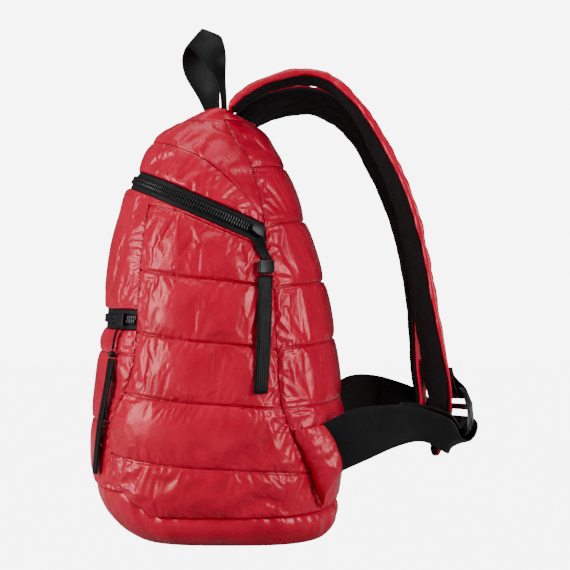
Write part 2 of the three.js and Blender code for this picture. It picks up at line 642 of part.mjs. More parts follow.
function strapGrid(depth, left) {
  const grid = [];
  for (let r = 0; r <= STRAP_STEPS; r += 1) {
    const at = (r / STRAP_STEPS) * (STRAP_ROWS.length - 1);
    const { point, width, face, inside, outside } = strapFrame(at, left);
    const row = [];
    for (let c = 0; c <= STRAP_CELLS; c += 1) {
      const s = (2 * c) / STRAP_CELLS - 1;
      const end = r === 0 || r === STRAP_STEPS ? 0.5 : 1;
      row.push(point.clone().addScaledVector(width, mix(-inside, outside, c / STRAP_CELLS))
        .addScaledVector(face, depth * (1 - STRAP_EDGE * s ** 4) * end));
    }
    grid.push(row);
  }
  return grid;
}
["right", "left"].forEach((side_, left) => {
  const mirror = left ? -1 : 1;
  const shell = wall(strapGrid(STRAP_SHELL, left), strapGrid(PART_GAP, left));
  const lining = wall(strapGrid(-PART_GAP, left), strapGrid(-STRAP_LINING, left));
  add(`strap_shell_${side_}`, shell, fabricRed).scale.x = mirror;
  add(`strap_lining_${side_}`, lining, meshBlack).scale.x = mirror;
});

// Buckle: a curved ladder lock on the strap's outer face, level with a row of the strap. The local frame runs
// across the strap, up it and out of its face.
const BUCKLE_ROW = 14.6;
const BUCKLE_STAND = STRAP_SHELL + 3.5; // its ends above the strap's middle surface
const BUCKLE_ARCH = 7;
const buckleFrame = strapFrame(BUCKLE_ROW);
const local = (across, up, out) => buckleFrame.point.clone()
  .addScaledVector(buckleFrame.width, across)
  .addScaledVector(buckleFrame.along, -up)
  .addScaledVector(buckleFrame.face, out);
const WINDOW_WIDTH = WEBBING_WIDTH + 3;
const BUCKLE_WINDOWS = [{ low: -0.77, high: 0.04 }, { low: 0.27, high: 0.75 }]; // shares of half its length
const half = BUCKLE_LENGTH / 2;
function slab(width, low, high) {
  return new THREE.Shape([
    new THREE.Vector2(-width / 2, low), new THREE.Vector2(width / 2, low),
    new THREE.Vector2(width / 2, high), new THREE.Vector2(-width / 2, high),
  ]);
}
const CHAMFER = 5;
const buckleShape = new THREE.Shape([
  new THREE.Vector2(-BUCKLE_WIDTH / 2 + CHAMFER, -half), new THREE.Vector2(BUCKLE_WIDTH / 2 - CHAMFER, -half),
  new THREE.Vector2(BUCKLE_WIDTH / 2, -half + CHAMFER), new THREE.Vector2(BUCKLE_WIDTH / 2, -half / 3),
  new THREE.Vector2(BUCKLE_WIDTH / 2, half / 3), new THREE.Vector2(BUCKLE_WIDTH / 2, half - CHAMFER),
  new THREE.Vector2(BUCKLE_WIDTH / 2 - CHAMFER, half), new THREE.Vector2(-BUCKLE_WIDTH / 2 + CHAMFER, half),
  new THREE.Vector2(-BUCKLE_WIDTH / 2, half - CHAMFER), new THREE.Vector2(-BUCKLE_WIDTH / 2, half / 3),
  new THREE.Vector2(-BUCKLE_WIDTH / 2, -half / 3), new THREE.Vector2(-BUCKLE_WIDTH / 2, -half + CHAMFER),
]);
buckleShape.holes = BUCKLE_WINDOWS.map((w) => slab(WINDOW_WIDTH, w.low * half, w.high * half));
const buckle = new THREE.ExtrudeGeometry(buckleShape, { depth: BUCKLE_THICK, bevelEnabled: false });
const spots = buckle.getAttribute("position");
for (let i = 0; i < spots.count; i += 1) {
  const up = spots.getY(i);
  const arch = BUCKLE_ARCH * (1 - (up / half) ** 2);
  spots.setXYZ(i, ...local(-spots.getX(i), up, BUCKLE_STAND + arch + spots.getZ(i)).toArray());
}
addPair("buckle", buckle, plasticBlack);

// Short webbing that holds the buckle's top bar: both layers are sewn to the strap above it. The bend is in
// the buckle's frame: up is a share of half its length and out is above its lower face, or above its upper
// face where over is 1. The ends lie at a row of the strap.
const ANCHOR_THICK = 1.4;
const ANCHOR_END_ROW = 12.7;
const ANCHOR_BEND = [
  { up: 0.864, out: -1.9, over: 0 },
  { up: 0.568, out: 0.5, over: 0 },
  { up: 0.545, out: 1, over: 1 },
  { up: 0.705, out: 4.5, over: 1 },
  { up: 0.909, out: 3.7, over: 1 },
  { up: 1.136, out: -0.5, over: 1 },
];
// A point of the buckle's frame, as shares of half the webbing's width and half the buckle's length.
const byBuckle = (across, up, out, over_) =>
  local((across * WEBBING_WIDTH) / 2, up * half, BUCKLE_STAND + out + over_ * BUCKLE_THICK);
const anchorRow = (place) => [WEBBING_WIDTH / 2, 0, -WEBBING_WIDTH / 2].map(place);
const onStrap = (row, layer, left) => anchorRow((across) => {
  const { point, width, face } = strapFrame(row, left);
  const lift = STRAP_SHELL + 0.25 + (PART_GAP + ANCHOR_THICK) * layer - ANCHOR_THICK / 2;
  return point.clone().addScaledVector(width, across).addScaledVector(face, lift);
});
const ANCHOR_STEPS = 18;
["right", "left"].forEach((side_, left) => {
  const grid = [
    onStrap(ANCHOR_END_ROW, 1, left),
    onStrap(ANCHOR_END_ROW + 0.25, 1, left),
    ...ANCHOR_BEND.map(({ up, out, over: over_ }) =>
      [1, 0, -1].map((across) => byBuckle(across, up, out, over_))),
    onStrap(ANCHOR_END_ROW + 0.25, 2.1, left),
    onStrap(ANCHOR_END_ROW, 2, left),
  ];
  const anchor = sheet(smoothGrid(grid, ANCHOR_STEPS), ANCHOR_THICK);
  add(`buckle_anchor_${side_}`, anchor, webbingBlack).scale.x = left ? -1 : 1;
});

// Lower webbing: from the wing, round the buckle's lower bar and back as a doubled tail. The rows away from
// the buckle give the middle of its width as shares of BODY_WIDTH, BODY_DEPTH and BODY_HEIGHT, across from
// its lower to its upper edge as shares of WEBBING_WIDTH, and the left one's extra rise as a share of
// WEBBING_SLACK.
const WEBBING_SLACK = 14;
const WEBBING_OUT = [
  { right: 0.378, back: 0.396, up: 0.214, across: [0.01, -0.4, 0.96], leftUp: 0 },
  { right: 0.375, back: 0.414, up: 0.219, across: [0, -0.4, 0.95], leftUp: 0 },
  { right: 0.377, back: 0.501, up: 0.243, across: [-0.02, -0.26, 1.05], leftUp: 0.79 },
  { right: 0.377, back: 0.579, up: 0.256, across: [-0.02, -0.16, 0.97], leftUp: 1 },
  { right: 0.377, back: 0.692, up: 0.266, across: [0.07, 0.24, 0.84], leftUp: 0.57 },
  { right: 0.371, back: 0.788, up: 0.265, across: [0.31, 0.09, 0.64], leftUp: 0.14 },
  { right: 0.364, back: 0.883, up: 0.237, across: [0.58, 0.02, 0.76], leftUp: 0 },
];
const WEBBING_TAIL = [
  { right: 0.35, back: 0.792, up: 0.272, across: [0.36, 0.04, 0.71], leftUp: 0.14 },
  { right: 0.357, back: 0.666, up: 0.267, across: [0.09, 0.11, 0.93], leftUp: 0.57 },
];
// Round the bar: each edge as shares of half the webbing's width and half the buckle's length, and out as in
// the bend above.
const WEBBING_BEND = [
  { upper: [1.2, -1.09, -3.5], lower: [-0.67, -1.64, -2.5], over: 0 },
  { upper: [1.07, -1.23, 1.5], lower: [-0.89, -1.36, 1.5], over: 1 },
  { upper: [1, -1, 8.5], lower: [-1, -1.05, 8.5], over: 1 },
  { upper: [1, -0.59, 11.5], lower: [-1, -0.59, 11.5], over: 1 },
  { upper: [1, -0.32, 7.5], lower: [-1, -0.32, 7.5], over: 1 },
  { upper: [1, -0.27, 0.5], lower: [-1, -0.27, 0.5], over: 1 },
  { upper: [1, -0.45, -0.3], lower: [-1, -0.45, -0.3], over: 0 },
  { upper: [1.07, -0.73, -1.7], lower: [-0.89, -0.91, -1.7], over: 0 },
  { upper: [1.11, -0.14, -8], lower: [-0.3, -1.14, -7.5], over: 0 },
];
const awayFromBuckle = (rows, left) => rows.map((row) => {
  const rise = left * row.leftUp * WEBBING_SLACK;
  const height = row.up * BODY_HEIGHT + rise;
  const middle = new THREE.Vector3(row.right * BODY_WIDTH, row.back * BODY_DEPTH, height);
  const reach = new THREE.Vector3(...row.across).multiplyScalar(WEBBING_WIDTH / 2);
  return [middle.clone().sub(reach), middle, middle.clone().add(reach)];
});
const roundBar = WEBBING_BEND.map(({ upper, lower, over: over_ }) => {
  const low = byBuckle(...lower, over_);
  const high = byBuckle(...upper, over_);
  return [low, low.clone().lerp(high, 0.5), high];
});
const WEBBING_STEPS = 38;
["right", "left"].forEach((side_, left) => {
  const grid = [...awayFromBuckle(WEBBING_OUT, left), ...roundBar, ...awayFromBuckle(WEBBING_TAIL, left)];
  const webbing = sheet(smoothGrid(grid, WEBBING_STEPS), WEBBING_THICK);
  add(`lower_webbing_${side_}`, webbing, webbingBlack).scale.x = left ? -1 : 1;
});

// Wing: a folded tab from the back seam to the webbing. seam is where it leaves the seam; back and up are its
// outer edge. All are shares of BODY_DEPTH or BODY_HEIGHT.
const WING_ROWS = [
  { seam: 0.074, back: 0.376, up: 0.109 },
  { seam: 0.123, back: 0.403, up: 0.136 },
  { seam: 0.168, back: 0.46, up: 0.168 },
  { seam: 0.217, back: 0.42, up: 0.22 },
  { seam: 0.264, back: 0.376, up: 0.274 },
];
const WING_EDGE = 0.386; // its outer edge to the right of the origin, as a share of BODY_WIDTH
const WING_THICK = 7;
const WING_CELLS = 5;
const wingGrid = (side_) => WING_ROWS.map((row, r) => {
  const turn = backSeam(row.seam);
  const away = PART_GAP + WING_THICK / 4;
  const root = bodyPoint(turn, row.seam).addScaledVector(bodyNormal(turn, row.seam), away);
  const edge = new THREE.Vector3(WING_EDGE * BODY_WIDTH, row.back * BODY_DEPTH, row.up * BODY_HEIGHT);
  const rowPoints = [];
  for (let c = 0; c <= WING_CELLS; c += 1) {
    const across = c / WING_CELLS;
    const end = r === 0 || r === WING_ROWS.length - 1 ? 0.45 : 1;
    const pad = (WING_THICK / 2) * mix(0.45, end, edgeFade(across));
    const bow = WING_THICK * Math.sin(Math.PI * across) * 0.8;
    rowPoints.push(root.clone().lerp(edge, across).add(new THREE.Vector3(bow + side_ * pad, 0, 0)));
  }
  return rowPoints;
});
addPair("wing", wall(wingGrid(1), wingGrid(-1)), fabricRed);

// A point over the body's seams: an angle, a height and how far out.
const over = (turn, height, out) => {
  const up = height / BODY_HEIGHT;
  return bodyPoint(turn, up).addScaledVector(bodyNormal(turn, up), out);
};

// A slider on a zip chain, its long side along the chain, with a bail on top.
const SLIDER_LENGTH = 13;
const SLIDER_WIDTH = 11;
const SLIDER_THICK = 3;
function slider(turn, height, lean) {
  const outline = new THREE.Shape([
    new THREE.Vector2(-SLIDER_LENGTH / 2, -SLIDER_WIDTH * 0.3), new THREE.Vector2(0, -SLIDER_WIDTH / 2),
    new THREE.Vector2(SLIDER_LENGTH / 2, -SLIDER_WIDTH / 2),
    new THREE.Vector2(SLIDER_LENGTH / 2, SLIDER_WIDTH / 2),
    new THREE.Vector2(0, SLIDER_WIDTH / 2), new THREE.Vector2(-SLIDER_LENGTH / 2, SLIDER_WIDTH * 0.3),
  ]);
  const geometry = new THREE.ExtrudeGeometry(outline, { depth: SLIDER_THICK, bevelEnabled: false });
  const up = height / BODY_HEIGHT;
  const normal = bodyNormal(turn, up);
  const around = new THREE.Vector3(0, 0, 1).cross(normal).normalize();
  const rise = normal.clone().cross(around);
  geometry.rotateZ(lean);
  geometry.applyMatrix4(new THREE.Matrix4().makeBasis(around, rise, normal));
  geometry.translate(...over(turn, height, chainFace + PART_GAP).toArray());
  return geometry;
}

// Main pull: a short ribbon from the slider to a folded block, and a long ribbon below it.
const MAIN_SLIDER_BACK = 22;
const mainSliderHeight = ZIP_HEIGHT - Math.tan(rad(ZIP_TILT)) * MAIN_SLIDER_BACK;

// The angle on the right side where the body over its seams reaches a given distance back.
function turnAtBack(backward, height) {
  let low = rad(20);
  let high = rad(160);
  for (let i = 0; i < 30; i += 1) {
    const middle = (low + high) / 2;
    if (bodyPoint(middle, height / BODY_HEIGHT).y < backward) low = middle;
    else high = middle;
  }
  return low;
}
const mainSliderTurn = turnAtBack(MAIN_SLIDER_BACK, mainSliderHeight);
add("main_zip_slider", slider(mainSliderTurn, mainSliderHeight, -rad(ZIP_TILT)),
  metalDark);
const beside = (backward, height, out) => {
  const point = over(turnAtBack(backward, height), height, out);
  return new THREE.Vector3(point.x, backward, height);
};
// A strip that hangs on the side panel: each row is its distance behind and below the slider, and how far
// out.
function hanging(rows, width, thickness, steps) {
  const grid = rows.map(([behind, below, out]) => [0.5, -0.5].map((share) =>
    beside(MAIN_SLIDER_BACK + behind + share * width, mainSliderHeight - below, out)));
  return sheet(smoothGrid(grid, steps), thickness);
}
const PULL_OVER = SIDE_PUFF + 1.5;
const FOLD_TOP = 27.4; // below the slider
const foldEnd = FOLD_TOP + MAIN_FOLD;
const ribbonTop = foldEnd + 1.5;
const LOOP_WIDTH = 9;
const LOOP_ROWS = [[1, 7.9, SIDE_PUFF - 1.4], [5, 17.4, PULL_OVER], [10, FOLD_TOP - 1, PULL_OVER]];
add("main_pull_loop", hanging(LOOP_ROWS, LOOP_WIDTH, PULL_THICK, 4), webbingBlack);
const FOLD_THICK = 4.5;
add("main_pull_fold", hanging([[9, FOLD_TOP, PULL_OVER + 3.5], [9, foldEnd, PULL_OVER + 3]], PULL_RIBBON + 1,
  FOLD_THICK, 2), plasticBlack);
const MAIN_RIBBON_ROWS = [[8, 0], [8, 0.286], [7, 0.619], [4.5, 1]]; // behind the slider, share of its length
add("main_pull_ribbon", hanging(
  MAIN_RIBBON_ROWS.map(([behind, share]) => [behind, ribbonTop + share * MAIN_RIBBON, PULL_OVER]),
  PULL_RIBBON, PULL_THICK, 7), webbingBlack);

// Pocket pull: a doubled cord from the slider, a moulded knot and a ribbon.
const POCKET_SLIDER_TURN = rad(45);
add("pocket_zip_slider", slider(POCKET_SLIDER_TURN, POCKET_ZIP_HEIGHT, 0), metalDark);
const POCKET_OVER = FRONT_PUFF + 2;
const pocketSpot = (degrees, height, out) => over(rad(degrees), height, out);
const cordTop = POCKET_ZIP_HEIGHT - SLIDER_WIDTH / 2 - 1;
const cordEnd = cordTop - POCKET_CORD;
const cordPath = new THREE.CatmullRomCurve3([
  pocketSpot(45, cordTop, POCKET_OVER - 2.5),
  pocketSpot(44.5, mix(cordTop, cordEnd, 0.36), POCKET_OVER),
  pocketSpot(43, cordEnd, POCKET_OVER),
]);
const CORD_SIDES = 8;
const cordRound = new THREE.Shape(new THREE.EllipseCurve(0, 0, CORD_PULL, CORD_PULL / 2).getPoints(CORD_SIDES)
  .slice(0, CORD_SIDES));
add("pocket_pull_cord", new THREE.ExtrudeGeometry(cordRound,
  { steps: 6, extrudePath: cordPath, bevelEnabled: false }), webbingBlack);
const KNOT = 3.6;
const knot = new THREE.SphereGeometry(KNOT, 10, 8);
knot.translate(...pocketSpot(42.8, cordEnd - PART_GAP - KNOT, POCKET_OVER).toArray());
add("pocket_pull_knot", knot, plasticBlack);
const pocketRibbonTop = cordEnd - 2 * (PART_GAP + KNOT);
const POCKET_RIBBON_ROWS = [[42.5, 0], [41, 0.22], [37.5, 0.6], [33, 1]]; // degrees round, share of length
const pocketRibbon = POCKET_RIBBON_ROWS.map(([degrees, share]) => {
  const height = pocketRibbonTop - share * POCKET_RIBBON;
  const spread = PULL_RIBBON / 2 / bodyPoint(RIGHT_ANGLE, height / BODY_HEIGHT).x;
  return [1, -1].map((side_) => over(rad(degrees) - side_ * spread, height, POCKET_OVER));
});
add("pocket_pull_ribbon", sheet(smoothGrid(pocketRibbon, 8).map((row) => row.reverse()), PULL_THICK),
  webbingBlack);

export default backpack;
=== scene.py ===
import math

import bmesh
import bpy
import numpy as np
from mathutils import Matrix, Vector


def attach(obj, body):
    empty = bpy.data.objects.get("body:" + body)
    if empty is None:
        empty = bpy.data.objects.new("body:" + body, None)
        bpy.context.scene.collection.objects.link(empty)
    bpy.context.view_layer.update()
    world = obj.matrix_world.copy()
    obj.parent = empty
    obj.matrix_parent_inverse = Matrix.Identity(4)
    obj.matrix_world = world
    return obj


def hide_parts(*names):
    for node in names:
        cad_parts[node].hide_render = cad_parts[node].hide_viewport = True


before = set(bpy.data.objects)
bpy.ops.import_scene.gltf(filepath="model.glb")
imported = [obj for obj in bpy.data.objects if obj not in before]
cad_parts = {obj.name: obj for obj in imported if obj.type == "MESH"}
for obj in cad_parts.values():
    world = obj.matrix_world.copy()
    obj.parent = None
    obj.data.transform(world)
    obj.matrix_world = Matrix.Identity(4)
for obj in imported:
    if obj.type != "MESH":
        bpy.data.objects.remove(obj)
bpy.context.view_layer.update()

# Camera
# The photograph is taken level with the middle of the bag, from its right-hand side, about 1.2 m away.
CAMERA_AWAY = 1.2
CAMERA_BACK = 0.048
CAMERA_UP = 0.236
SENSOR_WIDTH = 36.0
FOCAL_PIXELS = 1200
PHOTO_PIXELS = 570
camera_data = bpy.data.cameras.new("camera")
camera_data.sensor_width = SENSOR_WIDTH
camera_data.lens = SENSOR_WIDTH * FOCAL_PIXELS / PHOTO_PIXELS
camera = bpy.data.objects.new("camera", camera_data)
bpy.context.scene.collection.objects.link(camera)
camera.location = (CAMERA_AWAY, CAMERA_BACK, CAMERA_UP)
camera.rotation_euler = (math.pi / 2, 0.0, math.pi / 2)
bpy.context.scene.camera = camera

# Body shape
# The bag is sewn from panels over one rounded form. Each row is a level section of that form at its seams:
# its height, its reach to the front and back, its half width, and how square it is.
MM = 0.001
BODY_HEIGHT, BODY_DEPTH, BODY_WIDTH = 405.0, 226.0, 280.0
SECTIONS = np.array([
    # up, front, back, wide, square
    (0.0, 0.43, 0.4, 0.41, 3.2),
    (0.015, 0.472, 0.415, 0.43, 3.0),
    (0.04, 0.513, 0.427, 0.458, 2.9),
    (0.07, 0.556, 0.431, 0.474, 2.8),
    (0.12, 0.6, 0.429, 0.488, 2.7),
    (0.185, 0.603, 0.446, 0.496, 2.6),
    (0.27, 0.599, 0.44, 0.5, 2.6),
    (0.37, 0.58, 0.423, 0.496, 2.5),
    (0.47, 0.567, 0.4, 0.487, 2.4),
    (0.58, 0.551, 0.365, 0.471, 2.4),
    (0.68, 0.527, 0.31, 0.446, 2.3),
    (0.755, 0.491, 0.264, 0.418, 2.3),
    (0.815, 0.469, 0.228, 0.384, 2.2),
    (0.865, 0.416, 0.189, 0.35, 2.2),
    (0.91, 0.369, 0.142, 0.311, 2.2),
    (0.945, 0.32, 0.115, 0.268, 2.2),
    (0.97, 0.265, 0.085, 0.222, 2.2),
])
CROWN_UP = 0.97
FRONT_SEAM = np.array([(0.12, 53), (0.18, 45), (0.235, 42), (0.29, 44.5), (0.33, 49.5), (0.385, 54.5),
                       (0.47, 56), (0.8, 56)])
BACK_SEAM = np.array([(0.069, 144), (0.19, 129), (0.265, 121), (0.32, 117), (0.43, 118), (0.59, 120.5),
                      (0.73, 124.5), (0.815, 126), (0.885, 122), (0.97, 104)])


def column(table, key, up):
    """Reads one column of a table at heights, along a smooth curve through its rows."""
    knots = table[:, 0]
    values = table[:, key]
    slopes = np.empty(len(knots))
    slopes[1:-1] = (values[2:] - values[:-2]) / (knots[2:] - knots[:-2])
    slopes[0] = (values[1] - values[0]) / (knots[1] - knots[0])
    slopes[-1] = (values[-1] - values[-2]) / (knots[-1] - knots[-2])
    at = np.clip(up, knots[0], knots[-1])
    i = np.clip(np.searchsorted(knots, at, side="left") - 1, 0, len(knots) - 2)
    span = knots[i + 1] - knots[i]
    s = (at - knots[i]) / span
    return ((2 * s ** 3 - 3 * s ** 2 + 1) * values[i] + (s ** 3 - 2 * s ** 2 + s) * span * slopes[i]
            + (3 * s ** 2 - 2 * s ** 3) * values[i + 1] + (s ** 3 - s ** 2) * span * slopes[i + 1])


def body_point(turn, up):
    """Points of the body over its seams, at angles round it from the front and shares of its height."""
    front = column(SECTIONS, 1, up) * BODY_DEPTH
    back = column(SECTIONS, 2, up) * BODY_DEPTH
    power = 2 / column(SECTIONS, 4, up)
    sin, cos = np.sin(turn), np.cos(turn)
    x = column(SECTIONS, 3, up) * BODY_WIDTH * np.sign(sin) * np.abs(sin) ** power
    y = (back - front) / 2 - (front + back) / 2 * np.sign(cos) * np.abs(cos) ** power
    return np.stack([x, y, up * BODY_HEIGHT + 0 * turn], axis=-1)


def unit(v):
    return v / (np.linalg.norm(v, axis=-1, keepdims=True) + 1e-12)


def body_normal(turn, up):
    step = 0.004
    around = body_point(turn + step, up) - body_point(turn - step, up)
    rise = body_point(turn, np.minimum(up + step, CROWN_UP)) - body_point(turn, np.maximum(up - step, 0))
    return unit(np.cross(around, rise))


def front_seam(up):
    return np.radians(column(FRONT_SEAM, 1, up))


def back_seam(up):
    return np.radians(column(BACK_SEAM, 1, up))


ZIP_TILT = math.radians(23.6)
ZIP_HEIGHT = 295.0
ZIP_BAND = 19.0
FACING_SPREAD = 1.7  # how much more facing there is at a panel's front edge
FACING_END = 0.33  # share of the panel's width where that ends
SETTLING_ROUNDS = 40


def zip_edge(turn_at, across, facing=0.0):
    """Heights where the main zip's slanted plane, moved across the tape, cuts the body."""
    def heights(share):
        away = across - facing * (1 + FACING_SPREAD * np.clip(1 - share / FACING_END, 0, 1))
        up = np.full_like(share, ZIP_HEIGHT / BODY_HEIGHT)
        for _ in range(SETTLING_ROUNDS):
            y = body_point(turn_at(share, up), up)[..., 1]
            level = ZIP_HEIGHT + away / math.cos(ZIP_TILT) - math.tan(ZIP_TILT) * y
            up = (up + level / BODY_HEIGHT) / 2
        return up
    return heights


def mesh_object(name, points, faces, seam_shade=None):
    """A new object with a smooth mesh in metres. Its last argument marks the seam points that get painted
    shade.
    """
    mesh = bpy.data.meshes.new(name)
    mesh.from_pydata([tuple(p) for p in np.asarray(points) * MM], [], [tuple(f) for f in faces])
    mesh.polygons.foreach_set("use_smooth", [True] * len(mesh.polygons))
    # The marks go to a point attribute that the red nylon reads to paint shade along the seams.
    if seam_shade is not None:
        layer = mesh.attributes.new("seam_shade", "FLOAT", "POINT")
        layer.data.foreach_set("value", np.asarray(seam_shade, dtype=np.float32))
    mesh.update()
    obj = bpy.data.objects.new(name, mesh)
    bpy.context.scene.collection.objects.link(obj)
    return obj


# Padded panels
# The bag is glossy red nylon over wadding, cut in panels and sewn down along their edges and quilting lines.
# Each panel is blown up as cloth between its seams with spare length, so that it puckers where thread holds it.
PANEL_WALL = 3.2
CLOTH_STEP = 2.4
CLOTH_FRAMES = 24
CLOTH_START = 0.75  # share of its swelling that a panel starts with
CLOTH_MOST = 1.6  # shares of its swelling that it may reach
CLOTH_SLIDE = 5
CLOTH_DENT = 1.0
CLOTH_SETTINGS = {
    "quality": 5,
    "mass": 0.12,
    "tension_stiffness": 25,
    "compression_stiffness": 25,
    "shear_stiffness": 8,
    "bending_stiffness": 0.01,
    "tension_damping": 8,
    "compression_damping": 8,
    "air_damping": 3,
    "vertex_group_mass": "held",
    "pin_stiffness": 1.0,
    "use_pressure": True,
    "uniform_pressure_force": 2.5,
}
WAVE_STEPS = 2048
WING_GATHER_REACH = 62
WING_GATHER_DEPTH = 2.0
STITCH_SPACING = 3.4
SEAM_SINK = 1.6
SPARE = 0.024
FULL_STRIP = 35.0
SIDE_PUFF, BACK_PUFF, POCKET_PUFF, FRONT_PUFF, HOOD_PUFF, BASE_PUFF = 8.0, 6.5, 5.0, 4.0, 4.5, 2.5
PUCKER_DEPTH = 1.3
PUCKER_REACH = 8.0
PUCKER_PITCH = 2.3


def pillow(share):
    return np.sin(np.pi * np.clip(share, 0, 1)) ** 0.5


def edge_fade(across):
    return 1 - np.abs(2 * across - 1) ** 7


def panel_grid(lines, turn_at, columns):
    """Points, normals, rise, ground and held mask of a panel. lines are its seams, as functions across it."""
    share = np.linspace(0, 1, columns + 1)
    ups, rises, grounds, held = [], [], [], []
    for low, high in zip(lines[:-1], lines[1:]):
        a, b = low(share), high(share)
        count = max(5, int(round(np.mean(b - a) * BODY_HEIGHT / CLOTH_STEP)))
        full = np.clip((b - a) * BODY_HEIGHT / FULL_STRIP, 0, 1)
        for s in range(1 if ups else 0, count + 1):
            ups.append(a + (b - a) * s / count)
            rises.append(pillow(s / count) * full)
            from_foot = s / count if low is lines[0] else 1.0
            from_top = 1 - s / count if high is lines[-1] else 1.0
            grounds.append(pillow(from_foot / 2) * pillow(from_top / 2))
            held.append(s in (0, count))
    up = np.array(ups)
    turn = turn_at(share[None, :], up)
    rise = np.array(rises) * edge_fade(share)[None, :]
    ground = np.array(grounds)[:, None] * edge_fade(share)[None, :]
    hold = np.repeat(np.array(held)[:, None], columns + 1, axis=1)
    hold[:, 0] = hold[:, -1] = True
    return body_point(turn, up), body_normal(turn, up), rise, ground, hold


def refine(grid):
    """Doubles a grid of points both ways, on smooth curves through it."""
    for axis in (0, 1):
        grid = np.moveaxis(grid, axis, 0)
        ends = np.concatenate([2 * grid[:1] - grid[1:2], grid, 2 * grid[-1:] - grid[-2:-1]])
        fine = np.empty((2 * len(grid) - 1,) + grid.shape[1:])
        fine[::2] = grid
        fine[1::2] = (9 * (ends[1:-2] + ends[2:-1]) - ends[:-3] - ends[3:]) / 16
        grid = np.moveaxis(fine, 0, axis)
    return grid


def refined_hold(hold):
    fine = np.zeros((2 * hold.shape[0] - 1, 2 * hold.shape[1] - 1), dtype=bool)
    fine[::2][hold.all(axis=1)] = True
    fine[:, ::2][:, hold.all(axis=0)] = True
    return fine


def grid_faces(rows, columns, start=0):
    r, c = np.meshgrid(np.arange(rows - 1), np.arange(columns - 1), indexing="ij")
    a = (start + r * columns + c).ravel()
    return np.stack([a, a + 1, a + columns + 1, a + columns], axis=1)


def blow_up(points, normals, rise, hold, puff, name):
    """Settles one panel as cloth under pressure, held at its seams, and returns its points."""
    rows, columns = points.shape[:2]
    start = points + normals * (rise * puff * CLOTH_START)[..., None]
    obj = mesh_object(name + "_cloth", start.reshape(-1, 3), grid_faces(rows, columns))
    group = obj.vertex_groups.new(name="held")
    group.add([int(i) for i in np.nonzero(hold.ravel())[0]], 1.0, "REPLACE")
    cloth = obj.modifiers.new("cloth", "CLOTH")
    settings = cloth.settings
    for key, value in CLOTH_SETTINGS.items():
        setattr(settings, key, value)
    settings.shrink_min = -SPARE
    settings.effector_weights.gravity = 0
    cloth.collision_settings.use_collision = False
    cloth.collision_settings.use_self_collision = False
    cloth.point_cache.frame_start = 1
    cloth.point_cache.frame_end = CLOTH_FRAMES
    for step in range(1, CLOTH_FRAMES + 1):
        bpy.context.scene.frame_set(step)
    evaluated = obj.evaluated_get(bpy.context.evaluated_depsgraph_get())
    settled = np.empty(rows * columns * 3)
    evaluated.data.vertices.foreach_get("co", settled)
    settled = settled.reshape(rows, columns, 3) / MM
    bpy.data.objects.remove(obj, do_unlink=True)
    bpy.context.scene.frame_set(1)
    away = settled - points
    out = np.sum(away * normals, axis=-1, keepdims=True)
    slide = away - out * normals
    most = puff * CLOTH_MOST
    swell = np.maximum(np.tanh(out / most) * most, -CLOTH_DENT)
    return points + swell * normals + np.clip(slide, -CLOTH_SLIDE, CLOTH_SLIDE)


def waves(length, pitch, rng, count=WAVE_STEPS):
    """Smooth random values at count spots along a seam, one crest every pitch or so."""
    knots = rng.uniform(-1, 1, int(length / pitch) + 4)
    at = np.linspace(0, len(knots) - 1.001, WAVE_STEPS)
    i = at.astype(int)
    s = (1 - np.cos(np.pi * (at - i))) / 2
    values = knots[i] * (1 - s) + knots[i + 1] * s
    return values[np.linspace(0, WAVE_STEPS - 1, count).astype(int)]


def pucker(points, outer, normals, hold, rng):
    """Short creases that leave each quilting line at right angles, and the line itself drawn in."""
    rows, columns = points.shape[:2]
    lines = [r for r in range(rows) if hold[r].all()]
    width = np.linalg.norm(np.diff(points[rows // 2], axis=0), axis=1).sum()
    height = np.linalg.norm(np.diff(points[:, columns // 2], axis=0), axis=1)
    level = np.concatenate([[0], np.cumsum(height)])
    push = np.zeros((rows, columns))
    for r in lines:
        for way in (-1, 1):
            ridge = waves(width, PUCKER_PITCH, rng, columns)
            reach = PUCKER_REACH * (0.8 + 0.5 * waves(width, 9, rng, columns))
            drawn = np.clip(0.55 + waves(width, 22, rng, columns), 0.1, 1.2)
            far = (level[:, None] - level[r]) * way
            near = np.clip(1 - far / reach[None, :], 0, 1) * (far >= 0)
            push += PUCKER_DEPTH * drawn * ridge * near ** 1.5 * np.clip(far / 2, 0, 1)
        push[r] -= SEAM_SINK if 0 < r < rows - 1 else 0
    push[:, [c for c in range(1, columns - 1) if hold[:, c].all()]] -= SEAM_SINK
    return outer + normals * push[..., None]


def gathered(points, outer, normals, centre, reach, depth, rng):
    """Longer creases that fan out from a spot where the cloth is pulled."""
    away = points - np.array(centre)
    far = np.linalg.norm(away, axis=-1)
    angle = np.arctan2(away[..., 2], -away[..., 1])
    ridge = waves(360, 13, rng)[((angle + math.pi) / (2 * math.pi) * (WAVE_STEPS - 1)).astype(int)]
    push = depth * ridge * np.clip(far / 10, 0, 1) * np.clip(1 - far / reach, 0, 1) ** 1.2
    return outer + normals * push[..., None]


def rim_of(rows, columns):
    return np.concatenate([np.arange(columns), np.arange(1, rows) * columns + columns - 1,
                           (rows - 1) * columns + np.arange(columns - 2, -1, -1),
                           np.arange(rows - 2, 0, -1) * columns])


def padded_wall(name, outer, inner, mirrored=False, seam_shade=None):
    """A closed wall from two grids of points."""
    rows, columns = outer.shape[:2]
    count = rows * columns
    rim = rim_of(rows, columns)
    after = np.roll(rim, -1)
    faces = np.concatenate([grid_faces(rows, columns), grid_faces(rows, columns, count)[:, ::-1],
                            np.stack([after, rim, rim + count, after + count], axis=1)])
    points = np.concatenate([outer.reshape(-1, 3), inner.reshape(-1, 3)])
    if mirrored:
        points = points * (-1, 1, 1)
        faces = faces[:, ::-1]
    # Marks for painted shade along the seams, on the outer points only.
    seam_shade_marks = None if seam_shade is None else np.concatenate([seam_shade.ravel(), np.zeros(len(points) - seam_shade.size)])
    return mesh_object(name, points, faces, seam_shade_marks)


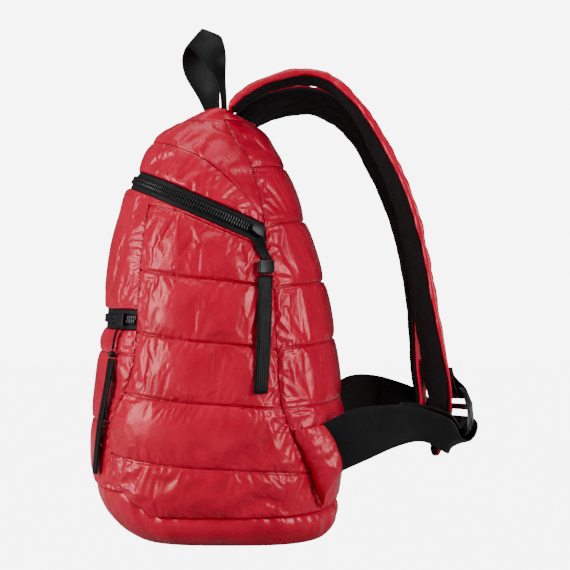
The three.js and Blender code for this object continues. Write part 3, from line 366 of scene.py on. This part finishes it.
def seam_points(path, normals, spacing, lift):
    """Even spots along a seam, with the direction of the seam and the way out of the cloth."""
    step = np.linalg.norm(np.diff(path, axis=0), axis=1)
    run = np.concatenate([[0], np.cumsum(step)])
    at = np.arange(spacing, run[-1] - spacing, spacing)
    spot = np.stack([np.interp(at, run, path[:, k]) for k in range(3)], axis=1)
    out = unit(np.stack([np.interp(at, run, normals[:, k]) for k in range(3)], axis=1))
    ahead = np.stack([np.interp(at + 1, run, path[:, k]) for k in range(3)], axis=1)
    return spot + out * lift, unit(ahead - spot), out


side_turn = lambda share, up: front_seam(up) + (back_seam(up) - front_seam(up)) * share
front_turn = lambda share, up: front_seam(up) * (2 * share - 1)
back_turn = lambda share, up: back_seam(up) + (2 * math.pi - 2 * back_seam(up)) * share
hood_turn = lambda share, up: back_seam(up) * (2 * share - 1)
SIDE_LINES = [(0.28, 0.221), (0.472, 0.423), (0.656, 0.604), (0.847, 0.792)]
BACK_LINES = [(0.161, 0.17), (0.308, 0.316), (0.44, 0.453), (0.577, 0.59), (0.715, 0.735), (0.853, 0.862)]
POCKET_LINES = [0.537, 0.846]
HOOD_LINE = np.array([(0, 0.04), (0.12, 0.24), (0.2, 0.36), (0.33, 0.49), (0.55, 0.55), (1, 0.57)])
UPRIGHTS = (0.25, 0.75)
UPRIGHT_LEAN = ((0.53, 27.5), (0.79, 44.0))
FACING = 3.0
WING_PULL = (115.0, 58.0, 122.0)
BASE_FRONT_UP, BASE_SIDE_UP, BASE_CORNER = 0.12, 0.069, 0.22
POCKET_ZIP_HEIGHT = 204.5
level_at = lambda up: lambda share: np.full_like(share, up)
side_foot = lambda share: BASE_FRONT_UP + (BASE_SIDE_UP - BASE_FRONT_UP) * np.sin(
    math.pi / 2 * np.clip(share / BASE_CORNER, 0, 1))
side_line = lambda line: lambda share: (line[0] + (line[1] - line[0]) * share) * ZIP_HEIGHT / BODY_HEIGHT
back_line = lambda line: lambda share: line[0] + (line[1] - line[0]) * np.sin(np.pi * share)
hood_edge = zip_edge(hood_turn, ZIP_BAND / 2)


def hood_line(share):
    mix = column(HOOD_LINE, 1, 1 - np.abs(2 * share - 1))
    low = hood_edge(share)
    return low + (CROWN_UP - low) * mix


def front_panel_turn(share, up):
    """Angles over the front panel, whose two upright seams lean outwards from the pocket to the main zip."""
    lean = np.radians(np.interp(up, [row[0] for row in UPRIGHT_LEAN], [row[1] for row in UPRIGHT_LEAN]))
    away = np.abs(2 * share - 1)
    split = UPRIGHTS[1] - UPRIGHTS[0]
    beyond = lean + (front_seam(up) - lean) * (away - split) / (1 - split)
    return np.sign(2 * share - 1) * np.where(away < split, lean * away / split, beyond)


front_edge = zip_edge(front_panel_turn, -ZIP_BAND / 2)
pocket_low = (POCKET_ZIP_HEIGHT - ZIP_BAND / 2) / BODY_HEIGHT
pocket_high = (POCKET_ZIP_HEIGHT + ZIP_BAND / 2) / BODY_HEIGHT
PANELS = {
    "side_panel": ([side_foot] + [side_line(line) for line in SIDE_LINES]
                   + [zip_edge(side_turn, -ZIP_BAND / 2, FACING), zip_edge(side_turn, -ZIP_BAND / 2)],
                   side_turn, 84, SIDE_PUFF, 0.3),
    "pocket_panel": ([level_at(BASE_FRONT_UP)]
                     + [level_at(line * POCKET_ZIP_HEIGHT / BODY_HEIGHT) for line in POCKET_LINES]
                     + [level_at(pocket_low)], front_turn, 104, POCKET_PUFF, 0.5),
    "front_panel": ([level_at(pocket_high), front_edge], front_panel_turn, 104, FRONT_PUFF, 0.3),
    "back_panel": ([level_at(BASE_SIDE_UP)] + [back_line(line) for line in BACK_LINES] + [level_at(CROWN_UP)],
                   back_turn, 112, BACK_PUFF, 0.6),
    "hood_panel": ([hood_edge, hood_line, level_at(CROWN_UP)], hood_turn, 190, HOOD_PUFF, 0.6),
}
CROWN_RISE = 13.0
CROWN_STEPS = 26
FIRST_SEED = 11
stitch_runs = []
red_pieces = []
for seed, (name, (lines, turn_at, columns, puff, lifted)) in enumerate(PANELS.items(), FIRST_SEED):
    rng = np.random.default_rng(seed)
    points, normals, rise, ground, hold = panel_grid(lines, turn_at, columns)
    if name == "front_panel":
        for upright in UPRIGHTS:
            hold[:, int(round(upright * columns))] = True
            rise *= np.clip(np.abs(np.linspace(0, 1, columns + 1) - upright) / 0.1, 0, 1) ** 0.5
    sewn = points + normals * (ground * lifted * puff)[..., None]
    blown = refine(blow_up(sewn, normals, rise, hold, puff * (1 - lifted), name))
    points, normals, hold = refine(points), unit(refine(normals)), refined_hold(hold)
    columns = points.shape[1] - 1
    outer = pucker(points, blown, normals, hold, rng)
    inner = points - normals * PANEL_WALL
    # Marks along the held seam lines, where the red nylon gets painted shade.
    seam_shade = hold.astype(float)
    if name == "side_panel":
        outer = gathered(points, outer, normals, WING_PULL, WING_GATHER_REACH, WING_GATHER_DEPTH, rng)
    if name == "hood_panel":
        start = back_seam(CROWN_UP)
        share = np.linspace(0, 1, columns + 1)
        turn = -start - (2 * math.pi - 2 * start) * share
        far = body_point(turn, CROWN_UP)
        far_normal = body_normal(turn, CROWN_UP)
        for grid_name, sink in (("outer", 0.0), ("inner", PANEL_WALL)):
            rim = outer[-1] if grid_name == "outer" else inner[-1]
            rows = []
            for s in np.arange(1, CROWN_STEPS + 1) / CROWN_STEPS:
                lift = CROWN_RISE * math.sin(math.pi * min(s, 0.98)) * edge_fade(share)
                if not sink:
                    crease = waves(200, 9, rng, columns + 1) * 0.5
                    lift = lift + crease * math.sin(math.pi * s) * edge_fade(share)
                row = rim + (far - far_normal * sink - rim) * s
                rows.append(row + lift[:, None] * (0, 0, 1) + (0, 0, 0.8 * s))
            if grid_name == "outer":
                outer = np.concatenate([outer, rows])
            else:
                inner = np.concatenate([inner, rows])
    sides = (("_right", False), ("_left", True)) if name == "side_panel" else (("", False),)
    for ending, mirrored in sides:
        obj = padded_wall("quilted_" + name + ending, outer, inner, mirrored, seam_shade)
        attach(obj, "root")
        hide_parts(name + ending)
        red_pieces.append(obj)
        turn_round = (-1, 1, 1) if mirrored else (1, 1, 1)
        for r in [r for r in range(1, len(points) - 1) if hold[r].all()]:
            path = outer[r] * turn_round
            stitch_runs.append(seam_points(path, normals[r] * turn_round, STITCH_SPACING, 0.15))
        for c in [2, columns - 2] + [c for c in range(1, columns) if hold[:, c].all()]:
            path = outer[:len(points), c] * turn_round
            stitch_runs.append(seam_points(path, normals[:, c] * turn_round, STITCH_SPACING, 0.1))

# Base panel
# A padded bowl that the other panels are sewn to, of the same red nylon. It is flatter than they are, with
# small creases under its seam and broad folds lower down.
BASE_WALL = 5.0
BASE_AROUND = 300
BASE_UP = 22
BASE_LENGTH = 900.0
BASE_SEED = 40
BASE_CREASE = 1.7
BASE_FOLD = 1.8
BASE_DRAWN_IN = 1.5
FLOOR_RINGS = (0.03, 0.3, 0.6, 0.85, 0.97)  # shares of the way out to the foot of the wall
around = np.linspace(0, 4, BASE_AROUND, endpoint=False)
edge_turn = np.empty(BASE_AROUND)
edge_up = np.empty(BASE_AROUND)
for k, a in enumerate(around):
    share = a % 1
    if a < 1:
        edge_turn[k], edge_up[k] = front_turn(share, BASE_FRONT_UP), BASE_FRONT_UP
    elif a < 2:
        edge_up[k] = side_foot(share)
        edge_turn[k] = side_turn(share, edge_up[k])
    elif a < 3:
        edge_turn[k], edge_up[k] = back_turn(share, BASE_SIDE_UP), BASE_SIDE_UP
    else:
        edge_up[k] = side_foot(1 - share)
        edge_turn[k] = 2 * math.pi - side_turn(1 - share, edge_up[k])
rng = np.random.default_rng(BASE_SEED)
creases = waves(BASE_LENGTH, 5, rng, BASE_AROUND)
folds = waves(BASE_LENGTH, 26, rng, BASE_AROUND)


def bowl_rings(sunk):
    lift = BASE_WALL if sunk else 0.0
    foot = body_point(edge_turn, np.zeros(BASE_AROUND))
    rings = [np.stack([foot[:, 0] * s, foot[:, 1] * s, np.full(BASE_AROUND, lift)], axis=1)
             for s in FLOOR_RINGS]
    for s in np.arange(0, BASE_UP + 1) / BASE_UP:
        up = s * (edge_up - 0.001)
        normal = body_normal(edge_turn, up)
        rise = -(BASE_WALL + (PANEL_WALL - BASE_WALL) * s) if sunk else (
            BASE_PUFF * math.sin(math.pi * s) ** 0.8 + BASE_CREASE * creases * s ** 3
            - BASE_DRAWN_IN * s ** 12 + BASE_FOLD * folds * math.sin(math.pi * s))
        point = body_point(edge_turn, up) + normal * np.broadcast_to(rise, (BASE_AROUND,))[:, None]
        point[:, 2] = np.maximum(point[:, 2], lift)
        rings.append(point)
    return rings


rings = bowl_rings(False) + bowl_rings(True)[::-1]
count = len(rings)
faces = []
for r in range(count - 1):
    for c in range(BASE_AROUND):
        d = (c + 1) % BASE_AROUND
        low, high = r * BASE_AROUND, (r + 1) * BASE_AROUND
        faces.append((low + c, low + d, high + d, high + c))
faces.append(tuple(range(BASE_AROUND))[::-1])
faces.append(tuple(range((count - 1) * BASE_AROUND, count * BASE_AROUND)))
base = mesh_object("padded_base", np.concatenate(rings), faces)
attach(base, "root")
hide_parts("base_panel")
red_pieces.append(base)

# Red nylon
# Thin downproof cloth with a wet-looking glaze. It shines softly, is darker in patches and has a fine crushed
# grain. Along its seams the colour is painted darker as shade.
def noise(tree, spot, scale, detail, rough=0.55):
    node = tree.nodes.new("ShaderNodeTexNoise")
    node.inputs["Scale"].default_value = scale
    node.inputs["Detail"].default_value = detail
    node.inputs["Roughness"].default_value = rough
    tree.links.new(spot, node.inputs["Vector"])
    return node.outputs["Fac"]


def ramp(tree, value, low, high, start, end):
    node = tree.nodes.new("ShaderNodeMapRange")
    for key, number in (("From Min", low), ("From Max", high), ("To Min", start), ("To Max", end)):
        node.inputs[key].default_value = number
    tree.links.new(value, node.inputs["Value"])
    return node.outputs["Result"]


def detail_group():
    """The surface that all materials share: patches for colour and gloss, and ribs under creases and grain."""
    tree = bpy.data.node_groups.new("surface_detail", "ShaderNodeTree")
    number, vector = "NodeSocketFloat", "NodeSocketVector"
    for key, kind, start in (("Grain scale", number, 1400), ("Grain height", number, 0),
                             ("Crease scale", number, 60), ("Crease height", number, 0),
                             ("Ribs a metre", number, 500), ("Rib height", number, 0),
                             ("Across", vector, (0, 0, 1))):
        tree.interface.new_socket(key, in_out="INPUT", socket_type=kind).default_value = start
    for key, kind in (("Patches", number), ("Gloss", number), ("Normal", vector)):
        tree.interface.new_socket(key, in_out="OUTPUT", socket_type=kind)
    entry = tree.nodes.new("NodeGroupInput").outputs
    last = tree.nodes.new("NodeGroupOutput")
    spot = tree.nodes.new("ShaderNodeTexCoord").outputs["Object"]
    tree.links.new(ramp(tree, noise(tree, spot, 38, 4), 0.3, 0.7, 0, 1), last.inputs["Patches"])
    tree.links.new(ramp(tree, noise(tree, spot, 90, 3), 0.3, 0.7, 0, 1), last.inputs["Gloss"])
    along = tree.nodes.new("ShaderNodeVectorMath")
    along.operation = "DOT_PRODUCT"
    tree.links.new(spot, along.inputs[0])
    tree.links.new(entry["Across"], along.inputs[1])
    turns = tree.nodes.new("ShaderNodeMath")
    turns.operation = "MULTIPLY"
    tree.links.new(along.outputs["Value"], turns.inputs[0])
    tree.links.new(entry["Ribs a metre"], turns.inputs[1])
    wave = tree.nodes.new("ShaderNodeMath")
    wave.operation = "PINGPONG"
    wave.inputs[1].default_value = 0.5
    tree.links.new(turns.outputs["Value"], wave.inputs[0])
    crease = noise(tree, spot, 60, 3, 0.6)
    grain = noise(tree, spot, 1400, 2)
    tree.links.new(entry["Crease scale"], crease.node.inputs["Scale"])
    tree.links.new(entry["Grain scale"], grain.node.inputs["Scale"])
    normal = None
    heights = ((wave.outputs["Value"], "Rib height"), (crease, "Crease height"), (grain, "Grain height"))
    for height, size in heights:
        bump = tree.nodes.new("ShaderNodeBump")
        tree.links.new(height, bump.inputs["Height"])
        tree.links.new(entry[size], bump.inputs["Distance"])
        if normal:
            tree.links.new(normal, bump.inputs["Normal"])
        normal = bump.outputs["Normal"]
    tree.links.new(normal, last.inputs["Normal"])
    return tree


surface_detail = detail_group()


def finish(name, colour, dark, rough, values, paint_seam_shade=False, **fixed):
    """A material with its own colours, gloss and surface values, with shade painted darker along the seams if
    asked. fixed sets the shader's own sockets."""
    material = bpy.data.materials.new(name)
    material.use_nodes = True
    tree = material.node_tree
    shader = tree.nodes["Principled BSDF"]
    detail = tree.nodes.new("ShaderNodeGroup")
    detail.node_tree = surface_detail
    for key, value in values.items():
        detail.inputs[key].default_value = value
    blend = tree.nodes.new("ShaderNodeMix")
    blend.data_type = "RGBA"
    tree.links.new(detail.outputs["Patches"], blend.inputs["Factor"])
    blend.inputs["A"].default_value = (*dark, 1)
    blend.inputs["B"].default_value = (*colour, 1)
    paint = blend.outputs["Result"]
    # Painted shade: along the seams the colour is mixed towards a quarter of the dark tone, for the shade in
    # the sewn-in valleys.
    if paint_seam_shade:
        seam_shade_attribute = tree.nodes.new("ShaderNodeAttribute")
        seam_shade_attribute.attribute_name = "seam_shade"
        drawn = tree.nodes.new("ShaderNodeMix")
        drawn.data_type = "RGBA"
        tree.links.new(ramp(tree, seam_shade_attribute.outputs["Fac"], 0.35, 1, 0, 0.8), drawn.inputs["Factor"])
        tree.links.new(paint, drawn.inputs["A"])
        drawn.inputs["B"].default_value = (*(0.25 * v for v in dark), 1)
        paint = drawn.outputs["Result"]
    tree.links.new(paint, shader.inputs["Base Color"])
    tree.links.new(ramp(tree, detail.outputs["Gloss"], 0, 1, rough[0], rough[1]), shader.inputs["Roughness"])
    tree.links.new(detail.outputs["Normal"], shader.inputs["Normal"])
    for key, value in fixed.items():
        shader.inputs[key.replace("_", " ")].default_value = value
    return material


# The red nylon is painted with shade along its seams.
red_nylon = finish("red_nylon", (0.5, 0.0, 0.028), (0.38, 0.0, 0.019), (0.26, 0.38),
                   {"Grain scale": 1400, "Grain height": 0.00003,
                    "Crease scale": 60, "Crease height": 0.0006},
                   paint_seam_shade=True, Specular_IOR_Level=0.75, Specular_Tint=(1.0, 0.3, 0.32, 1.0))
for piece in red_pieces:
    piece.data.materials.append(red_nylon)

# Stitching
# Red lockstitches run along every quilting line and just inside the upright seams. Each one is a short twist of
# thread drawn into the cloth.
def repeats(name, runs, size, material, shape):
    """Puts a small shape at every spot, along its seam, by Geometry Nodes, and makes them one mesh."""
    spots, along, out = (np.concatenate([run[k] for run in runs]) for k in range(3))
    mesh = bpy.data.meshes.new(name + "_spots")
    mesh.from_pydata([tuple(p) for p in spots * MM], [], [])
    for key, values in (("along", along), ("out", out)):
        layer = mesh.attributes.new(key, "FLOAT_VECTOR", "POINT")
        layer.data.foreach_set("vector", np.asarray(values, dtype=np.float32).ravel())
    holder = bpy.data.objects.new(name + "_holder", mesh)
    bpy.context.scene.collection.objects.link(holder)
    tree = bpy.data.node_groups.new(name + "_nodes", "GeometryNodeTree")
    tree.interface.new_socket("Spots", in_out="INPUT", socket_type="NodeSocketGeometry")
    sizes = tree.interface.new_socket("Size", in_out="INPUT", socket_type="NodeSocketVector")
    tree.interface.new_socket("Pieces", in_out="OUTPUT", socket_type="NodeSocketGeometry")
    entry = tree.nodes.new("NodeGroupInput")
    last = tree.nodes.new("NodeGroupOutput")
    turn = tree.nodes.new("FunctionNodeAxesToRotation")
    turn.primary_axis = "X"
    turn.secondary_axis = "Z"
    for key, socket in (("along", 0), ("out", 1)):
        read = tree.nodes.new("GeometryNodeInputNamedAttribute")
        read.data_type = "FLOAT_VECTOR"
        read.inputs["Name"].default_value = key
        tree.links.new(read.outputs["Attribute"], turn.inputs[socket])
    form = tree.nodes.new("GeometryNodeMeshUVSphere" if shape == "thread" else "GeometryNodeMeshCube")
    if shape == "thread":
        form.inputs["Segments"].default_value = 6
        form.inputs["Rings"].default_value = 4
        form.inputs["Radius"].default_value = 0.5
        body = form.outputs["Mesh"]
    else:
        form.inputs["Size"].default_value = (1, 1, 1)
        round_off = tree.nodes.new("GeometryNodeSubdivisionSurface")
        round_off.inputs["Level"].default_value = 1
        round_off.inputs["Edge Crease"].default_value = 0.55
        tree.links.new(form.outputs["Mesh"], round_off.inputs["Mesh"])
        body = round_off.outputs["Mesh"]
    place = tree.nodes.new("GeometryNodeInstanceOnPoints")
    tree.links.new(entry.outputs["Spots"], place.inputs["Points"])
    tree.links.new(body, place.inputs["Instance"])
    tree.links.new(turn.outputs["Rotation"], place.inputs["Rotation"])
    tree.links.new(entry.outputs["Size"], place.inputs["Scale"])
    real = tree.nodes.new("GeometryNodeRealizeInstances")
    tree.links.new(place.outputs["Instances"], real.inputs["Geometry"])
    paint = tree.nodes.new("GeometryNodeSetMaterial")
    paint.inputs["Material"].default_value = material
    tree.links.new(real.outputs["Geometry"], paint.inputs["Geometry"])
    tree.links.new(paint.outputs["Geometry"], last.inputs["Pieces"])
    modifier = holder.modifiers.new("repeat", "NODES")
    modifier.node_group = tree
    modifier[sizes.identifier] = tuple(v * MM for v in size)
    graph = bpy.context.evaluated_depsgraph_get()
    made = bpy.data.meshes.new_from_object(holder.evaluated_get(graph), depsgraph=graph)
    made.name = name
    bpy.data.objects.remove(holder, do_unlink=True)
    if not made.materials:
        made.materials.append(material)
    obj = bpy.data.objects.new(name, made)
    bpy.context.scene.collection.objects.link(obj)
    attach(obj, "root")
    return obj


red_thread = finish("red_thread", (0.3, 0.001, 0.014), (0.2, 0.0, 0.008), (0.45, 0.6),
                    {"Grain scale": 3000, "Grain height": 0.00003})
stitches = repeats("quilting_stitches", stitch_runs, (2.5, 0.55, 0.5), red_thread, "thread")

# Zips
# Each zip is a pair of black woven tapes, sewn under the panels' edges, with chunky moulded teeth over a black
# core. The main one lies in a slanted plane over the front and sides, the pocket's level across the front.
TAPE_SINK = 1.0
ZIP_TAPE = 1.4
CHAIN_HALF = 4.0
TOOTH_PITCH = 2.5
TAPE_CELLS = 360
TAPE_ROWS = 5
TOOTH_ROW = 1.75  # from the middle of the zip
TOOTH_SIZE = (1.6, 4.2, 2.6)
black_tape = finish("black_tape", (0.005, 0.005, 0.0055), (0.003, 0.003, 0.003), (0.6, 0.75),
                    {"Grain scale": 2200, "Grain height": 0.00008,
                     "Ribs a metre": 900, "Rib height": 0.00012},
                    Specular_IOR_Level=0.2)
black_teeth = finish("black_teeth", (0.006, 0.006, 0.0065), (0.004, 0.004, 0.004), (0.35, 0.45),
                     {"Grain scale": 500, "Grain height": 0.00002}, Specular_IOR_Level=0.45)


def zip_row(zip_name, across):
    share = np.linspace(0, 1, TAPE_CELLS + 1) * 0.998 + 0.001
    if zip_name == "main_zip":
        up = zip_edge(hood_turn, across)(share)
        turn = hood_turn(share, up)
    else:
        up = np.full_like(share, (POCKET_ZIP_HEIGHT + across) / BODY_HEIGHT)
        turn = front_turn(share, up)
    return body_point(turn, up), body_normal(turn, up)


def zip_strip(name, zip_name, low, high, sink):
    """A strip of black tape between two lines along a zip."""
    strip = [zip_row(zip_name, across) for across in np.linspace(low, high, TAPE_ROWS)]
    outer = np.array([point - normal * sink for point, normal in strip])
    inner = np.array([point - normal * (TAPE_SINK + ZIP_TAPE) for point, normal in strip])
    obj = padded_wall(name, outer, inner)
    obj.data.materials.append(black_tape)
    return obj


for zip_name in ("main_zip", "pocket_zip"):
    for edge, low, high in (("upper", CHAIN_HALF + 0.3, ZIP_BAND / 2 - 0.4),
                            ("lower", 0.4 - ZIP_BAND / 2, -CHAIN_HALF - 0.3)):
        tape = zip_strip("%s_tape_%s_woven" % (zip_name, edge), zip_name, low, high, TAPE_SINK)
        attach(tape, "root")
        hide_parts("%s_tape_%s" % (zip_name, edge))
    core = zip_strip(zip_name + "_core", zip_name, -CHAIN_HALF - 0.25, CHAIN_HALF + 0.25, TAPE_SINK + 0.1)
    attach(core, "root")
    rows = []
    for row, across in enumerate((-TOOTH_ROW, TOOTH_ROW)):
        point, normal = zip_row(zip_name, across)
        spot, along, out = seam_points(point, normal, TOOTH_PITCH / 2, 0.2)
        rows.append((spot[row::2], along[row::2], out[row::2]))
    teeth = repeats(zip_name + "_teeth", rows, TOOTH_SIZE, black_teeth, "tooth")
    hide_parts(zip_name + "_chain")

# Webbing, straps and pulls
# The handle, the lower straps and the pull ribbons are black ribbed webbing. The shoulder straps are red nylon
# outside and spacer mesh inside, and the wings are folded red nylon. Buckles, pull blocks and the pocket pull's
# bead are black plastic, and the sliders dark metal.
WELD = 0.00002
FLAT_ANGLE, CRISP_ANGLE, EDGE_ANGLE = (math.radians(degrees) for degrees in (4, 50, 35))
CRUMPLE_SIZE = 0.016


def fair(node, name, material, levels=2, bevel=0.0, crumple=0.0, swell=0.5, crisp=0.0,
         fade=None):
    """A finer copy of a construction piece: its triangles joined to quads and smoothed, or its edges rounded.
    crumple creases it, most where it swells, and fade gives the two heights between which that starts."""
    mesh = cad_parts[node].data.copy()
    mesh.name = name
    mesh.materials.clear()
    work = bmesh.new()
    work.from_mesh(mesh)
    bmesh.ops.remove_doubles(work, verts=work.verts, dist=WELD)
    if bevel:
        bmesh.ops.dissolve_limit(work, angle_limit=FLAT_ANGLE, verts=work.verts, edges=work.edges)
    else:
        bmesh.ops.join_triangles(work, faces=work.faces, angle_face_threshold=math.pi,
                                 angle_shape_threshold=math.pi, cmp_seam=False, cmp_sharp=False, cmp_uvs=False,
                                 cmp_vcols=False, cmp_materials=False)
        if crisp:
            layer = work.edges.layers.float.new("crease_edge")
            for line in work.edges:
                line[layer] = crisp if line.calc_face_angle(0) > CRISP_ANGLE else 0
    bmesh.ops.recalc_face_normals(work, faces=work.faces)
    work.to_mesh(mesh)
    work.free()
    mesh.polygons.foreach_set("use_smooth", [True] * len(mesh.polygons))
    mesh.materials.append(material)
    obj = bpy.data.objects.new(name, mesh)
    bpy.context.scene.collection.objects.link(obj)
    if bevel:
        edge = obj.modifiers.new("edges", "BEVEL")
        edge.width = bevel
        edge.segments = 3
        edge.limit_method = "ANGLE"
        edge.angle_limit = EDGE_ANGLE
        edge.harden_normals = True
    else:
        smooth = obj.modifiers.new("smooth", "SUBSURF")
        smooth.levels = smooth.render_levels = levels
    if crumple:
        clouds = bpy.data.textures.new(name + "_creases", "CLOUDS")
        clouds.noise_scale = CRUMPLE_SIZE
        clouds.noise_depth = 2
        crush = obj.modifiers.new("crumple", "DISPLACE")
        crush.texture = clouds
        crush.texture_coords = "LOCAL"
        crush.mid_level = swell
        crush.strength = crumple
        if fade:
            heights = np.empty(3 * len(mesh.vertices))
            mesh.vertices.foreach_get("co", heights)
            weights = np.clip((heights[2::3] - fade[0]) / (fade[1] - fade[0]), 0, 1)
            group = obj.vertex_groups.new(name="crumpled")
            for i, weight in enumerate(weights):
                group.add([i], float(weight), "REPLACE")
            crush.vertex_group = "crumpled"
    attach(obj, "root")
    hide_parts(node)
    return obj


WEBBING = ((0.0035, 0.0035, 0.004), (0.002, 0.002, 0.0025), (0.42, 0.55))
WEAVE = {"Grain scale": 1800, "Grain height": 0.0001, "Ribs a metre": 640, "Rib height": 0.0003}
level_webbing = finish("level_webbing", *WEBBING, WEAVE, Specular_IOR_Level=0.22)
upright_webbing = finish("upright_webbing", *WEBBING, {**WEAVE, "Across": (0.3, 1, 0)},
                         Specular_IOR_Level=0.12)
spacer_mesh = finish("spacer_mesh", (0.004, 0.004, 0.0045), (0.002, 0.002, 0.002), (0.8, 0.95),
                     {"Grain scale": 900, "Grain height": 0.0004, "Ribs a metre": 260, "Rib height": 0.0006,
                      "Across": (0.5, 0.6, 0.6)}, Specular_IOR_Level=0.15)
black_plastic = finish("black_plastic", (0.01, 0.01, 0.011), (0.007, 0.007, 0.008), (0.28, 0.4),
                       {"Grain scale": 1600, "Grain height": 0.00002}, Specular_IOR_Level=0.18)
dark_metal = finish("dark_metal", (0.014, 0.014, 0.015), (0.009, 0.009, 0.01), (0.34, 0.46),
                    {"Grain scale": 600, "Grain height": 0.00002}, Metallic=0.5, Specular_IOR_Level=0.35)
for node in ("lower_webbing_right", "lower_webbing_left", "buckle_anchor_right", "buckle_anchor_left"):
    fair(node, node + "_woven", level_webbing, crisp=0.8)
for node in ("grab_handle", "main_pull_loop", "main_pull_ribbon", "pocket_pull_cord", "pocket_pull_ribbon"):
    fair(node, node + "_woven", upright_webbing, crisp=0.0 if node == "pocket_pull_cord" else 0.8)
STRAP_FADE = (0.14, 0.23)  # heights between which the straps start to crease, in metres
for ending in ("_right", "_left"):
    near = ending == "_right"
    fair("strap_shell" + ending, "strap_outside" + ending, red_nylon, 3,
         crumple=0.0045, swell=0.05 if near else 0.6, fade=STRAP_FADE)
    fair("strap_lining" + ending, "strap_inside" + ending, spacer_mesh, 3,
         crumple=0.003, swell=0.5 if near else 0.0)
    fair("wing" + ending, "folded_wing" + ending, red_nylon, 4, crumple=0.004)
    fair("buckle" + ending, "ladder_buckle" + ending, black_plastic, bevel=0.0009)
fair("main_pull_fold", "main_pull_block", black_plastic, bevel=0.0012)
fair("pocket_pull_knot", "pocket_pull_bead", black_plastic, levels=1)
for node in ("main_zip_slider", "pocket_zip_slider"):
    fair(node, node + "_cast", dark_metal, bevel=0.0007)

# Floor and light
# A pale seamless floor and four soft lights: a large one overhead, one from the front, one from behind and one
# on the side away from the camera, which makes no highlights. The camera sees floor and world brighter than
# they light the bag.
BACKDROP = 7.0
WORLD_LIGHT = 0.12
FLOOR_HALF = 2500
FLOOR_GREY = 0.35
FLOOR_GLOW = 0.97  # share of the floor that the camera sees glow
WHITE = (1, 1, 1, 1)
LIGHTS_AIM = Vector((0, 0, 0.22))
corners = [(x * FLOOR_HALF, y * FLOOR_HALF, 0) for x, y in ((-1, -1), (1, -1), (1, 1), (-1, 1))]
floor = mesh_object("floor", corners, [(0, 1, 2, 3)])
pale = bpy.data.materials.new("pale_floor")
pale.use_nodes = True
nodes, links = pale.node_tree.nodes, pale.node_tree.links
matte = nodes["Principled BSDF"]
matte.inputs["Base Color"].default_value = (FLOOR_GREY, FLOOR_GREY, FLOOR_GREY, 1)
matte.inputs["Roughness"].default_value = 0.9
lit = nodes.new("ShaderNodeEmission")
lit.inputs["Color"].default_value = WHITE
lit.inputs["Strength"].default_value = BACKDROP
seen = nodes.new("ShaderNodeMixShader")
ray = nodes.new("ShaderNodeLightPath")
glow = nodes.new("ShaderNodeMath")
glow.operation = "MULTIPLY"
glow.inputs[1].default_value = FLOOR_GLOW
links.new(ray.outputs["Is Camera Ray"], glow.inputs[0])
links.new(glow.outputs["Value"], seen.inputs["Fac"])
links.new(matte.outputs["BSDF"], seen.inputs[1])
links.new(lit.outputs["Emission"], seen.inputs[2])
links.new(seen.outputs["Shader"], nodes["Material Output"].inputs["Surface"])
floor.data.materials.append(pale)
world = bpy.data.worlds.new("studio")
bpy.context.scene.world = world
world.use_nodes = True
sky = world.node_tree
dim = sky.nodes["Background"]
dim.inputs["Color"].default_value = WHITE
dim.inputs["Strength"].default_value = WORLD_LIGHT
bright = sky.nodes.new("ShaderNodeBackground")
bright.inputs["Color"].default_value = WHITE
bright.inputs["Strength"].default_value = BACKDROP
choose = sky.nodes.new("ShaderNodeMixShader")
sky.links.new(sky.nodes.new("ShaderNodeLightPath").outputs["Is Camera Ray"], choose.inputs["Fac"])
sky.links.new(dim.outputs["Background"], choose.inputs[1])
sky.links.new(bright.outputs["Background"], choose.inputs[2])
sky.links.new(choose.outputs["Shader"], sky.nodes["World Output"].inputs["Surface"])
LIGHTS = [
    # name, place, size, power
    ("overhead", (0.1, -0.1, 1.7), 1.4, 15),
    ("front", (0.75, -1.35, 0.55), 0.9, 34),
    ("rear", (0.9, 1.35, 0.6), 0.8, 26),
    ("far side", (-1.3, 0.4, 0.8), 0.9, 16),
]
for light_name, place, size, power in LIGHTS:
    data = bpy.data.lights.new(light_name, "AREA")
    data.energy = power
    data.size = size
    lamp = bpy.data.objects.new(light_name, data)
    bpy.context.scene.collection.objects.link(lamp)
    lamp.location = place
    lamp.visible_glossy = light_name != "far side"
    lamp.rotation_euler = (LIGHTS_AIM - Vector(place)).to_track_quat("-Z", "Y").to_euler()
